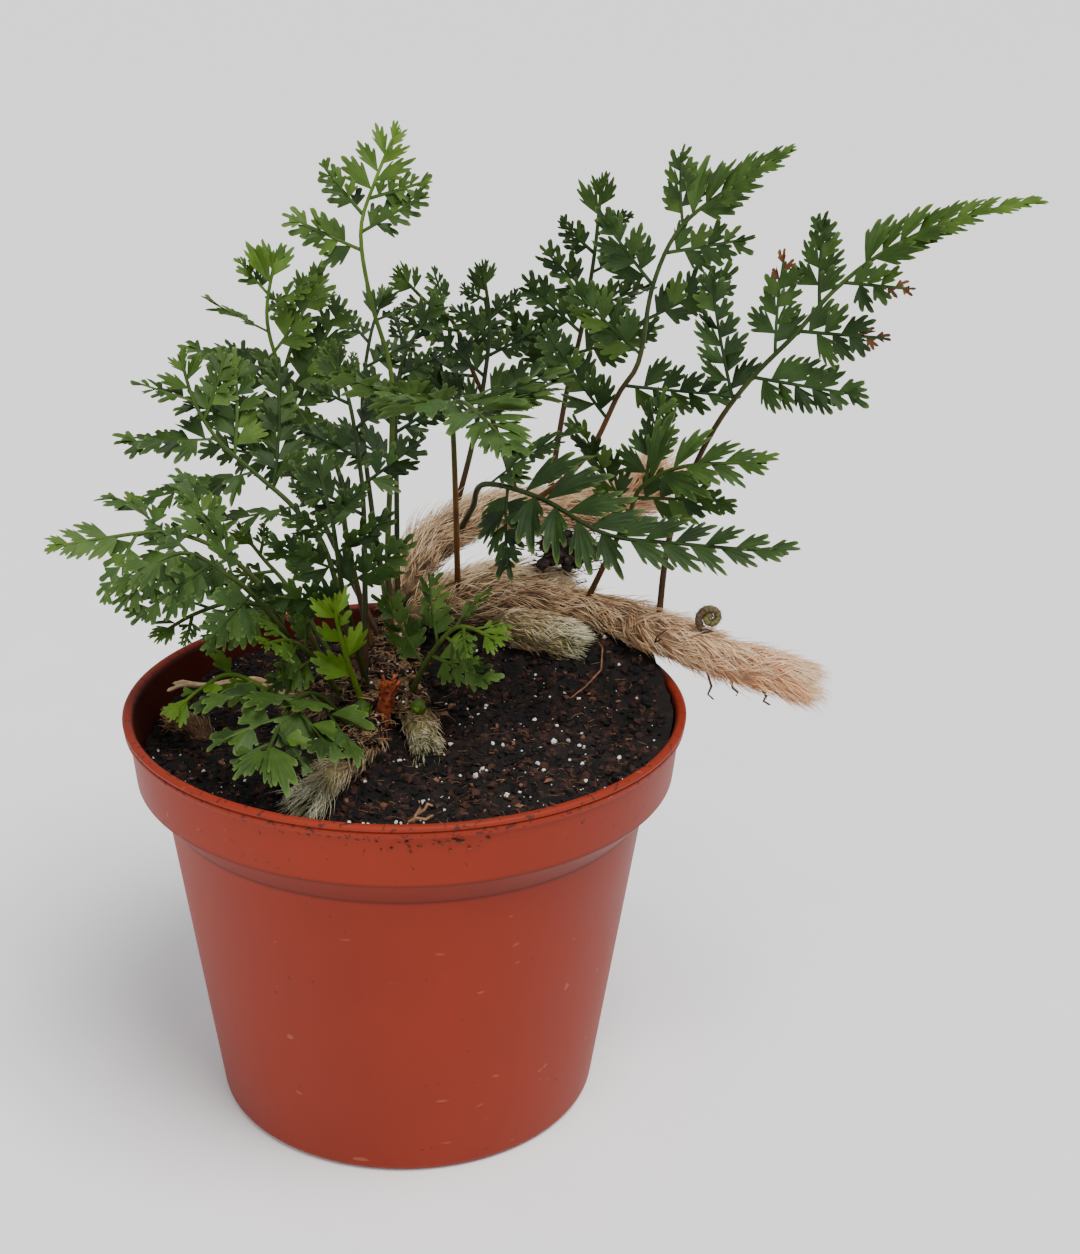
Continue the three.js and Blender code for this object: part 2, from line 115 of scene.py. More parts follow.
class Pile:
    """Collects the points, faces and painted values of one piece."""
    UNPAINTED = dict(tone=0.5, ripe=0.0, out=0.0, rib=0.0, brown=0.0)

    def __init__(self):
        self.points, self.faces, self.under, self.count = [], [], [], 0
        self.painted = {label: [] for label in self.UNPAINTED}

    def put(self, points, face_groups, under=(0, 0, 0, 0), **painted):
        """Adds points, and groups of faces whose numbers start at 0 for these points. Each painted
        value is one number, one for each of the equal runs of points, or one a point; under has
        one number a group."""
        points = np.reshape(points, (-1, 3))
        self.points.append(points)
        for label, usual in self.UNPAINTED.items():
            value = np.ravel(painted.get(label, usual))
            self.painted[label].append(np.repeat(value, len(points) // len(value)))
        for number, group in enumerate(face_groups):
            self.faces.append(group + self.count)
            self.under.append(np.full(len(group), under[number]))
        self.count += len(points)

    def made(self, name, material, slot, replaced=(), crease=180):
        """Turns the pile into a mesh object at the origin that rides on the root body. Edges that
        bend by more than the crease, in degrees, look sharp."""
        mesh = bpy.data.meshes.new(name)
        points = np.concatenate(self.points) * MM
        mesh.from_pydata(points, [], [face for group in self.faces for face in group.tolist()])
        layers = {label: ("POINT", values) for label, values in self.painted.items()}
        for label, (place, values) in {**layers, "under": ("FACE", self.under)}.items():
            layer = mesh.attributes.new(label, "FLOAT", place)
            layer.data.foreach_set("value", np.concatenate(values).astype(np.float32))
        mesh.polygons.foreach_set("use_smooth", np.ones(len(mesh.polygons), bool))
        mesh.set_sharp_from_angle(angle=np.radians(crease))
        mesh.materials.append(material)
        mesh.update()
        thing = in_scene(name, mesh)
        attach(thing, "root")
        if replaced:
            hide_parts(*replaced)
        return thing


class Route:
    """A smooth curve through given points: at each it heads along half the step from the
    point before to the point after, and a cubic joins them. s runs from 0 to 1 by length."""

    def __init__(self, points):
        p = np.array(points, float)
        ends = np.vstack([2 * p[0] - p[1], p, 2 * p[-1] - p[-2]])
        t = np.linspace(0, len(p) - 1, 40 * (len(p) - 1) + 1)
        i = np.minimum(t.astype(int), len(p) - 2)
        w = (t - i)[:, None]
        start, end = ends[i + 1], ends[i + 2]
        leave, arrive = (end - ends[i]) / 2, (ends[i + 3] - start) / 2
        self.places = (start + leave * w + (3 * (end - start) - 2 * leave - arrive) * w ** 2
                       + (2 * (start - end) + leave + arrive) * w ** 3)
        steps = np.linalg.norm(np.diff(self.places, axis=0), axis=1)
        self.length = steps.sum()
        self.share = np.concatenate([[0], np.cumsum(steps)]) / self.length
        self.slopes = unit(np.gradient(self.places, self.share, axis=0))

    def between(self, s, columns):
        """The values of the columns at shares s of the length."""
        return np.stack([np.interp(s, self.share, column) for column in columns.T], axis=-1)

    def at(self, s):
        """The places at shares s of the length; beyond the ends it goes on straight."""
        s = np.asarray(s, float)
        past = (s - np.clip(s, 0, 1))[..., None] * self.length
        return self.between(s, self.places) + past * self.along(s)

    def along(self, s):
        """The unit directions at shares s of the length."""
        return unit(self.between(s, self.slopes))


def frame_at(forward, hint):
    """Side and normal of a surface that heads forward and looks towards the hint."""
    side = unit(np.cross(forward, hint))
    return side, np.cross(side, forward)


def ringed(values, sides):
    """One value a step of a tube, as one value for each of its points."""
    return np.concatenate([values[:1], np.repeat(values[1:-1], sides), values[-1:]])


def tube_faces(rings, sides):
    """Faces of a closed tube whose points are a tip, the rings and a tip: quads between
    neighbouring rings, and triangles that close both ends."""
    k = np.arange(sides)
    onward = (k + 1) % sides
    near = 1 + sides * np.arange(rings - 1)[:, None]
    far, last = near + sides, 1 + sides * (rings - 1)
    quads = np.stack([near + k, far + k, far + onward, near + onward], axis=-1)
    caps = np.stack([[0 * k, 1 + k, 1 + onward], [0 * k + last + sides, last + onward, last + k]])
    return quads.reshape(-1, 4), caps.transpose(0, 2, 1).reshape(-1, 3)


def tubes(lines, radii, sides, hint=UP, flat=1.0):
    """One closed tube or many. lines[tube, step] are points on the middle line: the first and last
    are the closed tips, and round each of the others lies a ring at that step's radius, flattened
    towards the hint."""
    lines = np.asarray(lines, float)
    lines = lines.reshape(-1, *lines.shape[-2:])
    count, steps = lines.shape[:2]
    radii = np.broadcast_to(radii, (count, steps))
    side, normal = frame_at(unit(np.gradient(lines, axis=1)), hint)
    turn = (np.arange(sides) * TURN / sides)[:, None]
    spoke = np.cos(turn) * side[:, 1:-1, None] + flat * np.sin(turn) * normal[:, 1:-1, None]
    rings = lines[:, 1:-1, None] + spoke * radii[:, 1:-1, None, None]
    points = np.concatenate([lines[:, :1], rings.reshape(count, -1, 3), lines[:, -1:]], axis=1)
    shift = (np.arange(count) * points.shape[1])[:, None, None]
    return points, [(group + shift).reshape(-1, group.shape[1])
                    for group in tube_faces(steps - 2, sides)]


def lathe(profile, sides):
    """A closed body turned from a profile of radius and height whose two ends lie on the axis."""
    profile = np.array(profile, float)
    turn = np.arange(sides) * TURN / sides
    radius, height = profile[1:-1, :1], profile[1:-1, 1:]
    rings = np.stack([radius * np.cos(turn), radius * np.sin(turn), height + 0 * turn], axis=-1)
    points = np.vstack([[0, 0, profile[0, 1]], rings.reshape(-1, 3), [0, 0, profile[-1, 1]]])
    return points, [group[:, ::-1] for group in tube_faces(len(profile) - 2, sides)]


def rounded(corners, radius, steps=4):
    """The same profile with each inner corner swapped for a short curve that starts and ends a
    radius from it, or a third of the side where that is shorter."""
    corners = np.array(corners, float)
    back, ahead = corners[:-2] - corners[1:-1], corners[2:] - corners[1:-1]
    cut_back = back * np.minimum(radius / np.linalg.norm(back, axis=1), 0.33)[:, None]
    cut_ahead = ahead * np.minimum(radius / np.linalg.norm(ahead, axis=1), 0.33)[:, None]
    t = np.linspace(0, 1, steps)[:, None]
    curve = corners[1:-1, None] + (1 - t) ** 2 * cut_back[:, None] + t ** 2 * cut_ahead[:, None]
    return np.vstack([corners[:1], curve.reshape(-1, 2), corners[-1:]])


NOISE_TABLE = np.random.default_rng(3).random((64, 64))


def rough(x, y, size):
    """Smooth random heights from 0 to 1 with lumps of the given size in millimetres."""
    x, y = np.asarray(x) / size + 1000, np.asarray(y) / size + 1000
    i, j = np.floor(x).astype(int), np.floor(y).astype(int)
    fx, fy = x - i, y - j
    fx, fy = fx * fx * (3 - 2 * fx), fy * fy * (3 - 2 * fy)
    value = lambda a, b: NOISE_TABLE[(i + a) % 64, (j + b) % 64]
    return mix(mix(value(0, 0), value(1, 0), fx), mix(value(0, 1), value(1, 1), fx), fy)


# ---------------------------------------------------------------- materials

def linear(code):
    """An sRGB hex colour as linear red, green, blue and alpha."""
    parts = np.array([int(code[i:i + 2], 16) for i in (1, 3, 5)]) / 255
    return (*np.where(parts <= 0.04045, parts / 12.92, ((parts + 0.055) / 1.055) ** 2.4), 1.0)


def per_mm(size):
    """The scale that gives a pattern on Object coordinates, in metres, features of so many mm."""
    return 1 / (size * MM)


def add(tree, kind, inputs=(), stops=(), out=0, **settings):
    """Adds one shader node and gives back one of its outputs. Its inputs go by name or in order:
    each is a number or colour, an output to link, or the name of a value painted on the mesh.
    A colour ramp's stops are places and hex colours."""
    made = tree.nodes.new("ShaderNode" + kind)
    for name, value in settings.items():
        setattr(made, name, value)
    for socket, value in inputs.items() if isinstance(inputs, dict) else enumerate(inputs):
        if isinstance(value, str):
            value = add(tree, "Attribute", out="Fac", attribute_name=value)
        if isinstance(value, bpy.types.NodeSocket):
            tree.links.new(value, made.inputs[socket])
        else:
            made.inputs[socket].default_value = value
    # A new ramp has a first and a last stop already, and the others go between them
    for number, (place, code) in enumerate([*stops[:1], *stops[-1:], *stops[1:-1]]):
        ramp = made.color_ramp.elements
        stop = ramp[number] if number < 2 else ramp.new(place)
        stop.position, stop.color = place, linear(code)
    return made.outputs[out] if len(made.outputs) else None


def coated(tree, colour, *coats):
    """Lays coats over a colour, each given as the share that it covers and its own colour."""
    for share, coat in coats:
        coat = linear(coat) if isinstance(coat, str) else coat
        colour = add(tree, "Mix", {0: share, 6: colour, 7: coat}, out=2, data_type="RGBA")
    return colour


def new_material(name):
    """A material with an empty node tree, and its place in Object coordinates."""
    material = bpy.data.materials.new(name)
    material.use_nodes = True
    tree = material.node_tree
    tree.nodes.clear()
    return material, tree, add(tree, "TexCoord", out="Object")


def finish(material, colour, relief=(), **shader):
    """Ends a material with its shader, whose other inputs are given by name. The relief is a
    height, its strength and its depth in metres."""
    tree = material.node_tree
    inputs = {key.replace("_", " "): value for key, value in shader.items()}
    if relief:
        inputs["Normal"] = add(tree, "Bump", dict(zip(("Height", "Strength", "Distance"), relief)))
    surface = add(tree, "BsdfPrincipled", {"Base Color": colour, **inputs})
    add(tree, "OutputMaterial", {"Surface": surface})
    return material


def moulded_pot():
    """Injection-moulded polypropylene in terracotta colour: the eye sees an even, slightly silky
    skin, soil splashed under the lip and on the collar, and a few pale rubs. Painted shade darkens
    the inner wall and lines the ledge, and the wall is painted darker towards the bottom."""
    material, tree, spot = new_material("moulded_polypropylene")
    cloud = add(tree, "TexNoise", {"Vector": spot, "Scale": per_mm(45), "Detail": 3.0})
    body = add(tree, "ValToRGB", [cloud], [(0.3, "#7b2310"), (0.7, "#872b17")])
    height = add(tree, "SeparateXYZ", [spot], out="Z")
    # The wall is painted darker towards the bottom, up to a quarter of the way to a deeper red at
    # its foot
    body = coated(tree, body, (add(tree, "MapRange", (height, 0.0, 0.09, 0.25, 0.0)), "#6f200e"))
    # Painted shade: a dark line 0.4 mm wide above and below the ledge, and the band between them
    # painted a little darker against the light that the floor throws up on it. The ramp's places
    # are heights in tenths of a metre.
    level = add(tree, "Math", (height, 10.0), operation="MULTIPLY")
    ledge = add(tree, "ValToRGB", [level], [
        (0.698, "#ffffff"), (0.704, "#a4a4a4"), (0.711, "#d2cbc8"), (0.763, "#dcd5d2"),
        (0.770, "#b8b8b8"), (0.776, "#ffffff")])
    body = add(tree, "Mix", {0: 1.0, 6: body, 7: ledge}, out=2, data_type="RGBA",
               blend_type="MULTIPLY")
    # Soil splashes are 0.3 to 1 mm across, drawn 1.3 mm apart, and gather near the lip
    grain = add(tree, "TexNoise", {"Vector": spot, "Scale": per_mm(1.3), "Detail": 2.0})
    patch = add(tree, "TexNoise", {"Vector": spot, "Scale": per_mm(14), "Detail": 1.0})
    near_lip = add(tree, "MapRange", (height, 0.060, 0.0885, 0.0, 0.045))
    under_lip = add(tree, "MapRange", (height, 0.0868, 0.088, 0.0, 0.085))
    dirt = add(tree, "Math", (patch, 0.12, near_lip), operation="MULTIPLY_ADD")
    for share in (under_lip, grain):
        dirt = add(tree, "Math", (dirt, share), operation="ADD")
    dirt = add(tree, "MapRange", (dirt, 0.79, 0.83, 0.0, 0.8))
    # Pale rubs are hair-thin, drawn 0.3 mm wide to show at all
    along = add(tree, "Mapping", {"Vector": spot, "Rotation": (0.3, 0.2, 0.5),
                                  "Scale": (0.12, 1.0, 1.0)})
    rub = add(tree, "TexNoise", {"Vector": along, "Scale": per_mm(2.2), "Detail": 1.0})
    rub = add(tree, "MapRange", (rub, 0.745, 0.78, 0.0, 0.3))
    # Painted shade: the inner wall, flagged brown on the mesh, is painted near black where little
    # light gets into the pot
    painted_inner_shade = add(tree, "Math", ("brown", 0.8), operation="MULTIPLY")
    body = coated(tree, body, (dirt, "#3a2019"), (rub, "#b8705a"), (painted_inner_shade, "#2c120c"))
    skin = add(tree, "TexNoise", {"Vector": spot, "Scale": per_mm(0.8), "Detail": 2.0})
    shine = add(tree, "MapRange", (cloud, 0.3, 0.7, 0.46, 0.58))
    return finish(material, body, (skin, 0.04, 0.0002), Roughness=shine, IOR=1.49,
                  Specular_IOR_Level=0.18)


def moist_peat():
    """Moist peat, dug and broken: the eye sees matt crumbs, almost black with brown edges."""
    material, tree, spot = new_material("moist_peat")
    lump = add(tree, "TexNoise", {"Vector": spot, "Scale": per_mm(3.5), "Detail": 5.0})
    value = add(tree, "Math", (lump, "tone"), operation="MULTIPLY")
    colour = add(tree, "ValToRGB", [value], [
        (0.12, "#020101"), (0.32, "#0a0504"), (0.48, "#190d09"), (0.68, "#40251a")])
    crumb = add(tree, "TexNoise", {"Vector": spot, "Scale": per_mm(1.1), "Detail": 4.0})
    return finish(material, colour, (crumb, 0.9, 0.0006), Roughness=0.85, IOR=1.4)


def perlite_grain():
    """Perlite, volcanic glass popped by heat: the eye sees chalk white grains with grey pits."""
    material, tree, spot = new_material("perlite")
    pit = add(tree, "TexNoise", {"Vector": spot, "Scale": per_mm(0.6), "Detail": 3.0})
    colour = add(tree, "ValToRGB", [pit], [(0.35, "#b9b0a4"), (0.6, "#f1eee8")])
    return finish(material, colour, (pit, 0.6, 0.0003), Roughness=0.9)


def plant_fibre(name, colours, size=1.5):
    """Dry or woody plant matter: each strand has its own place in a run of three colours, and the
    eye sees it broken by streaks of the given size in millimetres, coarser than its real fibres."""
    material, tree, spot = new_material(name)
    streak = add(tree, "TexNoise", {"Vector": spot, "Scale": per_mm(size), "Detail": 3.0})
    value = add(tree, "MapRange", (streak, 0.3, 0.7, -0.2, 0.2))
    value = add(tree, "Math", (value, "tone"), operation="ADD")
    colour = add(tree, "ValToRGB", [value], [*zip((0.0, 0.5, 1.0), colours)])
    return finish(material, colour, (streak, 0.5, 0.0003), Roughness=0.75)


def rhizome_hair():
    """Hairs of the rhizome, papery scales drawn out to points: the eye sees a silky sheen. tone
    runs from dark brown roots to pale tips and carries painted light, lighter on the upper side of
    each limb and darker beneath; ripe makes them blond, and rib greenish white."""
    material, tree, _ = new_material("rhizome_hair")
    tan, blond, pale = (add(tree, "ValToRGB", ["tone"], stops) for stops in (
        [(0.0, "#22170e"), (0.3, "#725538"), (0.6, "#c8a272"), (1.0, "#f6dfb8")],
        [(0.0, "#7c4a2a"), (0.35, "#db955f"), (0.65, "#ffc088"), (1.0, "#ffe2bd")],
        [(0.0, "#3c3a1c"), (0.35, "#76773f"), (0.65, "#b4b185"), (1.0, "#e2e0c4")]))
    return finish(material, coated(tree, tan, ("ripe", blond), ("rib", pale)), Roughness=0.6,
                  Sheen_Weight=0.3, Sheen_Roughness=0.4)


def rhizome_skin():
    """Skin of the rhizome under its hairs: the eye sees a brown mat of broken scales, green where
    it is young."""
    material, tree, spot = new_material("rhizome_skin")
    mat = add(tree, "TexNoise", {"Vector": spot, "Scale": per_mm(1.6), "Detail": 5.0})
    brown, green = (add(tree, "ValToRGB", [mat], stops) for stops in (
        [(0.3, "#1c130c"), (0.5, "#453220"), (0.72, "#80653f")],
        [(0.3, "#4d4a24"), (0.5, "#7b7a42"), (0.72, "#a9a56c")]))
    colour = coated(tree, brown, ("rib", green), ("ripe", "#cda07c"))
    return finish(material, colour, (mat, 0.9, 0.0006), Roughness=0.85)


def fern_leaf():
    """Living fern frond: the eye sees leathery, half matt green, dark when ripe and yellowish when
    young, with paler veins, margins and undersides, and stalks that are brown at the foot."""
    material, tree, spot = new_material("fern_leaf")
    blotch = add(tree, "TexNoise", {"Vector": spot, "Scale": per_mm(5), "Detail": 3.0})
    blotch = add(tree, "MapRange", (blotch, 0.3, 0.7, -0.18, 0.18))
    value = add(tree, "Math", ("tone", blotch), operation="ADD")
    dark, light, stalk = (add(tree, "ValToRGB", [value], stops) for stops in (
        [(0.0, "#0d1807"), (0.5, "#1f3511"), (1.0, "#385223")],
        [(0.0, "#36560f"), (0.5, "#62861b"), (1.0, "#8fae34")],
        [(0.1, "#2a170b"), (0.5, "#452a15"), (0.9, "#6e4424")]))
    under = add(tree, "Math", ("under", 0.4), operation="MULTIPLY")
    vein = add(tree, "MapRange", ("rib", 0.7, 1.0, 0.0, 0.1))
    margin = add(tree, "MapRange", ("out", 0.86, 1.0, 0.0, 0.28))
    pale = add(tree, "Math", (vein, margin), operation="MAXIMUM")
    colour = coated(tree, dark, ("ripe", light), (under, "#5d7638"), (pale, "#7f9a4a"),
                    ("brown", stalk))
    ridge = add(tree, "TexNoise", {"Vector": spot, "Scale": per_mm(1.2), "Detail": 3.0})
    return finish(material, colour, (ridge, 0.25, 0.0003), Roughness=0.55, IOR=1.4,
                  Specular_IOR_Level=0.3)


def pale_floor():
    """Matt painted board: the eye sees an even white ground. Its tooth is drawn 30 mm coarse."""
    material, tree, spot = new_material("studio_floor")
    tooth = add(tree, "TexNoise", {"Vector": spot, "Scale": per_mm(30), "Detail": 2.0})
    colour = add(tree, "ValToRGB", [tooth], [(0.3, "#fafafb"), (0.7, "#fdfdfd")])
    return finish(material, colour, Roughness=0.95)


# ---------------------------------------------------------------- pot

POT_PROFILE = [
    (0, 0), (14, 0), (15, 1.2), (33.4, 1.2), (34.4, 0), (40.7, 0), (41.9, 1.2), (51.8, 70.5),
    (57.6, 77), (58.75, 88.2), (59.7, 88.4), (59.8, 89.4), (59.3, 89.7), (59.95, 90.0),
    (60.0, 90.6), (59.4, 91.0), (58.4, 91.0), (57.6, 90.0), (56.1, 77.8), (50.3, 71.3), (40.4, 3),
    (0, 3)]
# Of the profile's twenty inner corners the ledge's two are crisp, and the last four lie inside
CRISP_CORNERS, FIRST_CORNER_INSIDE = (6, 7), 16
POT_SIDES, CORNER_STEPS = 160, 4
DRAIN_COUNT, DRAIN_RADIUS, DRAIN_CIRCLE = 6, 3.5, 24.0


def build_pot(material):
    """The pot's profile turned round the axis: a foot ring, a tapered wall, a sloping ledge, a
    collar, and a lip of a flat band and a round bead with a fine groove between them. Six round
    drains are cut through the base."""
    crisp = np.isin(np.arange(len(POT_PROFILE) - 2), CRISP_CORNERS)
    points, faces = lathe(rounded(POT_PROFILE, np.where(crisp, 0.3, 0.7), CORNER_STEPS), POT_SIDES)
    ring = (np.arange(len(points)) - 1) // POT_SIDES
    # Flags the inner wall as brown, which the pot's material turns into painted shade, near black
    inside = (ring >= CORNER_STEPS * FIRST_CORNER_INSIDE) & (points[:, 2] < 90.5)
    pile = Pile()
    pile.put(points, faces, brown=inside)
    pot = pile.made("nursery_pot", material, "pot", ["pot"], crease=35)
    turn = (np.arange(DRAIN_COUNT) + 0.5)[:, None] * TURN / DRAIN_COUNT
    lines = np.stack(np.broadcast_arrays(DRAIN_CIRCLE * np.cos(turn), DRAIN_CIRCLE * np.sin(turn),
                                         [-4.0, -3.0, 6.0, 7.0]), axis=-1)
    points, faces = tubes(lines, DRAIN_RADIUS, 32, np.array([1.0, 0.0, 0.0]))
    drill = bpy.data.meshes.new("drill")
    drill.from_pydata(points.reshape(-1, 3) * MM, [],
                      [face for group in faces for face in group.tolist()])
    cutter = in_scene("drill", drill)
    cut = pot.modifiers.new("drains", "BOOLEAN")
    cut.operation, cut.solver, cut.object = "DIFFERENCE", "EXACT", cutter
    bpy.context.view_layer.update()
    evaluated = pot.evaluated_get(bpy.context.evaluated_depsgraph_get())
    drilled = bpy.data.meshes.new_from_object(evaluated)
    pot.modifiers.clear()
    pot.data = drilled
    bpy.data.objects.remove(cutter)


# ---------------------------------------------------------------- peat

PEAT_RADIUS = 56


def peat_height(x, y):
    """Height of the peat: a gentle slope with a mound under the rhizome at the back right, heaped
    up a little more against the wall at the right."""
    mound = np.exp(-((x - 40) / 26) ** 2 - ((y - 30) / 20) ** 2)
    heap = np.clip((np.hypot(x, y) - 42) / 14, 0, 1) ** 2 * np.clip((x - 14) / 30, 0, 1)
    return 84 + 0.06 * x + 0.07 * y + 7 * mound + 1.8 * heap


def crumbled(x, y):
    """The same height with lumps of 9, 3.5 and 1.4 mm on it."""
    lumps = (1.8 * (rough(x, y, 9) - 0.5) + 1.8 * (rough(x + 31, y, 3.5) - 0.5)
             + 1.1 * (rough(x, y + 57, 1.4) - 0.5))
    return peat_height(x, y) + lumps


def build_peat(material):
    """A closed body like a filled beaker: its top is a disc of rings whose heights are crumbled."""
    walls = [(0, 3.3), (40, 3.3), (50.2, 71.5), (55.8, 78)]
    disc = [(r, 84) for r in np.linspace(PEAT_RADIUS, 1.2, 82)] + [(0, 84)]
    points, faces = lathe(walls + disc, 320)
    top = points[:, 2] > 80
    points[top, 2] = crumbled(points[top, 0], points[top, 1])
    # The pot's wall widens upwards, so the outermost rings widen with their height
    edge = top & (np.hypot(points[:, 0], points[:, 1]) > 54)
    points[edge, :2] *= (1 + 0.0021 * (points[edge, 2] - 80))[:, None]
    pile = Pile()
    pile.put(points, faces, tone=0.5 + 0.55 * rough(points[:, 0], points[:, 1], 2.3))
    pile.made("peat_bed", material, "peat", ["peat"], crease=80)


def on_peat(count, margin=0.8):
    """Random places on the peat's surface, even over its area."""
    radius = np.sqrt(random.random(count)) * (PEAT_RADIUS - margin)
    turn = random.random(count) * TURN
    x, y = radius * np.cos(turn), radius * np.sin(turn)
    return np.stack([x, y, crumbled(x, y)], axis=1)


def five_round(height, turn):
    """Five points of the ball, evenly round the axis."""
    angle = np.arange(5) * TURN / 5 + turn
    return np.stack([0.9 * np.cos(angle), 0.9 * np.sin(angle), height + 0 * angle], axis=1)


BALL = np.vstack([[0, 0, 1], five_round(0.45, 0), five_round(-0.45, 0.63), [0, 0, -1]])
FIFTH, NEXT = np.arange(5), (np.arange(5) + 1) % 5
BALL_FACES = np.concatenate([np.stack(corners, axis=1) for corners in (
    [0 * FIFTH, 1 + FIFTH, 1 + NEXT], [1 + FIFTH, 6 + FIFTH, 1 + NEXT],
    [1 + NEXT, 6 + FIFTH, 6 + NEXT], [0 * FIFTH + 11, 6 + NEXT, 6 + FIFTH])])


def grains(places, sizes, flat, lumpy):
    """Twenty-sided grains: a ball whose twelve corners move in and out at random, flattened,
    turned at random about two axes and set at each place."""
    count = len(places)
    lumps = 1 + lumpy * (random.random((count, 12, 1)) - 0.5)
    spin, tip = random.random(count) * TURN, random.random(count) * 1.6 - 0.8
    x, y, z = np.moveaxis(BALL * lumps * np.array([1, 0.8, flat]), -1, 0)
    c, s = np.cos(tip)[:, None], np.sin(tip)[:, None]
    y, z = c * y - s * z, s * y + c * z
    c, s = np.cos(spin)[:, None], np.sin(spin)[:, None]
    x, y = c * x - s * y, s * x + c * y
    points = places[:, None] + np.stack([x, y, z], axis=-1) * sizes[:, None, None]
    return points, [(BALL_FACES + (np.arange(count) * 12)[:, None, None]).reshape(-1, 3)]


def strew(pile, places, sizes, flat, lumpy, tone):
    """Puts grains at the places. sizes and tone say how each is left to chance."""
    points, faces = grains(places, chance(len(places), *sizes), flat, lumpy)
    pile.put(points, faces, tone=chance(len(places), *tone))


def strands(places, length, rise, radius, bend=1.2):
    """Thin fibres that start at places and wander level and a little up: each is a bent tube of
    three sides, thickest in its middle."""
    count = len(places)
    heading = random.random(count) * TURN
    turning = (random.random(count) - 0.5) * 2 * bend
    t = np.linspace(0, 1, 6)
    angle = heading[:, None] + turning[:, None] * t * 3
    step = np.stack([np.cos(angle), np.sin(angle), rise[:, None] * (1 - 2 * t)], axis=-1)
    lines = places[:, None] + np.cumsum(step, axis=1) * (length / len(t))[:, None, None]
    return tubes(lines, radius[:, None] * np.sin(np.pi * (0.1 + 0.8 * t)), 3)


def on_limbs(**wanted):
    """Random places on the upper half of branches of the rhizome: for each branch how many, and
    up to which share of its length."""
    found = []
    for name, (count, reach) in wanted.items():
        route, limb = limb_of(name)
        s = reach * random.random(count)
        turn = np.pi * (0.1 + 0.8 * random.random(count))
        spoke = turned(*frame_at(route.along(s), UP), turn)
        radius = limb_radius(s + 0.02, limb["radius"], route.length) * 0.9
        found.append(route.at(s) + spoke * radius[:, None])
    return np.concatenate(found)


def build_litter(peat, perlite, fibre, bark):
    """What lies on the peat: dark crumbs, red-brown bark bits, perlite grains and fibres. Some
    cling to the old branches at the crown, to the collar and to the front of the lip."""
    crumbs, chips, white, threads = Pile(), Pile(), Pile(), Pile()
    raised, least_lift = np.array([0, 0, 0.4]), np.array([0, 0, 0.2])

    strew(crumbs, on_peat(6500), (0.25, 1.15, 3), 0.75, 1.0, tone=(0.45, 1.1, 1.4))
    clinging = on_limbs(front=(220, 0.8), front_left=(420, 0.8), left=(220, 0.9))
    strew(crumbs, clinging, (0.3, 0.8, 2), 0.8, 1.0, tone=(0.5, 0.9))
    crumbs.made("peat_crumbs", peat, "peat", crease=20)

    strew(chips, on_peat(620) + least_lift, (0.3, 0.8, 3), 0.45, 0.9, tone=())
    # Splashed bits stick to the collar just under the lip
    count, radius = 26, 58.7
    turn = -TURN / 4 + 0.11 * random.standard_normal(count) + 0.06
    height = 87.4 - 2.4 * random.random(count) ** 2
    stuck = np.stack([radius * np.cos(turn), radius * np.sin(turn), height], axis=1)
    strew(chips, stuck, (0.2, 0.4, 2), 0.5, 1.0, tone=(0.3, 0.6))
    chips.made("bark_bits", bark, "peat", crease=20)

    # Perlite: scattered, ten larger grains where the photograph has them, nine on the lip, and
    # the rest on the branches
    places, sizes = on_peat(380), chance(380, 0.15, 0.5, 3)
    x, y = np.array([[36, -30], [-6, -47], [28, -41], [44, -20], [14, -24], [20, -33], [31, -12],
                     [45, -34], [-1, -53], [3, -53.5]]).T
    lip = np.column_stack([chance(9, -12, 15), chance(9, -57.4, 0.9), chance(9, 90.1, 0.5)])
    places = np.vstack([places, np.column_stack([x, y, crumbled(x, y) + 0.3]), lip,
                        on_limbs(front=(22, 0.8), front_left=(22, 0.7))])
    sizes = np.concatenate([sizes, chance(10, 0.5, 0.6), chance(9, 0.18, 0.5, 2),
                            chance(44, 0.25, 0.3)])
    white.put(*grains(places + least_lift, sizes, 0.85, 0.6))
    white.made("perlite_grains", perlite, "peat", crease=25)

    count = 1500
    fibres = strands(on_peat(count, 6) + raised, chance(count, 1.5, 5, 2), chance(count, 0, 0.3),
                     chance(count, 0.05, 0.08, 2))
    threads.put(*fibres, tone=chance(count))
    chaff = on_limbs(front=(260, 0.85), front_left=(200, 0.7), left=(80, 0.8))
    count = len(chaff)
    fibres = strands(chaff, chance(count, 2, 4), chance(count, 0, 0.6), chance(count, 0.08, 0.08))
    threads.put(*fibres, tone=chance(count, 0.7, 0.6))
    # A dry forked rootlet leans on the lip
    fork = [[[1, -57.6, 90.6], [1.1, -57.6, 91], [1.6, -57.4, 92.4], [2.4, -57.2, 93.6],
             [2.2, -57.2, 95], [2.1, -57.2, 95.4]],
            [[1.8, -57.5, 92.4], [2, -57.5, 92.7], [3.2, -57.4, 93.5], [3.8, -57.3, 94.6],
             [4.6, -57.3, 94.2], [4.8, -57.3, 94]],
            [[0, -57.6, 90.8], [0.2, -57.6, 91], [1.6, -57.5, 91.8], [3.4, -57.5, 91.4],
             [4.6, -57.5, 92.2], [5, -57.5, 92.4]]]
    threads.put(*tubes(fork, 0.32 * np.array([0, 1, 0.9, 1, 0.7, 0]), 6), tone=0.85)
    threads.made("peat_fibres", fibre, "peat")


# ---------------------------------------------------------------- rhizomes and their hairs

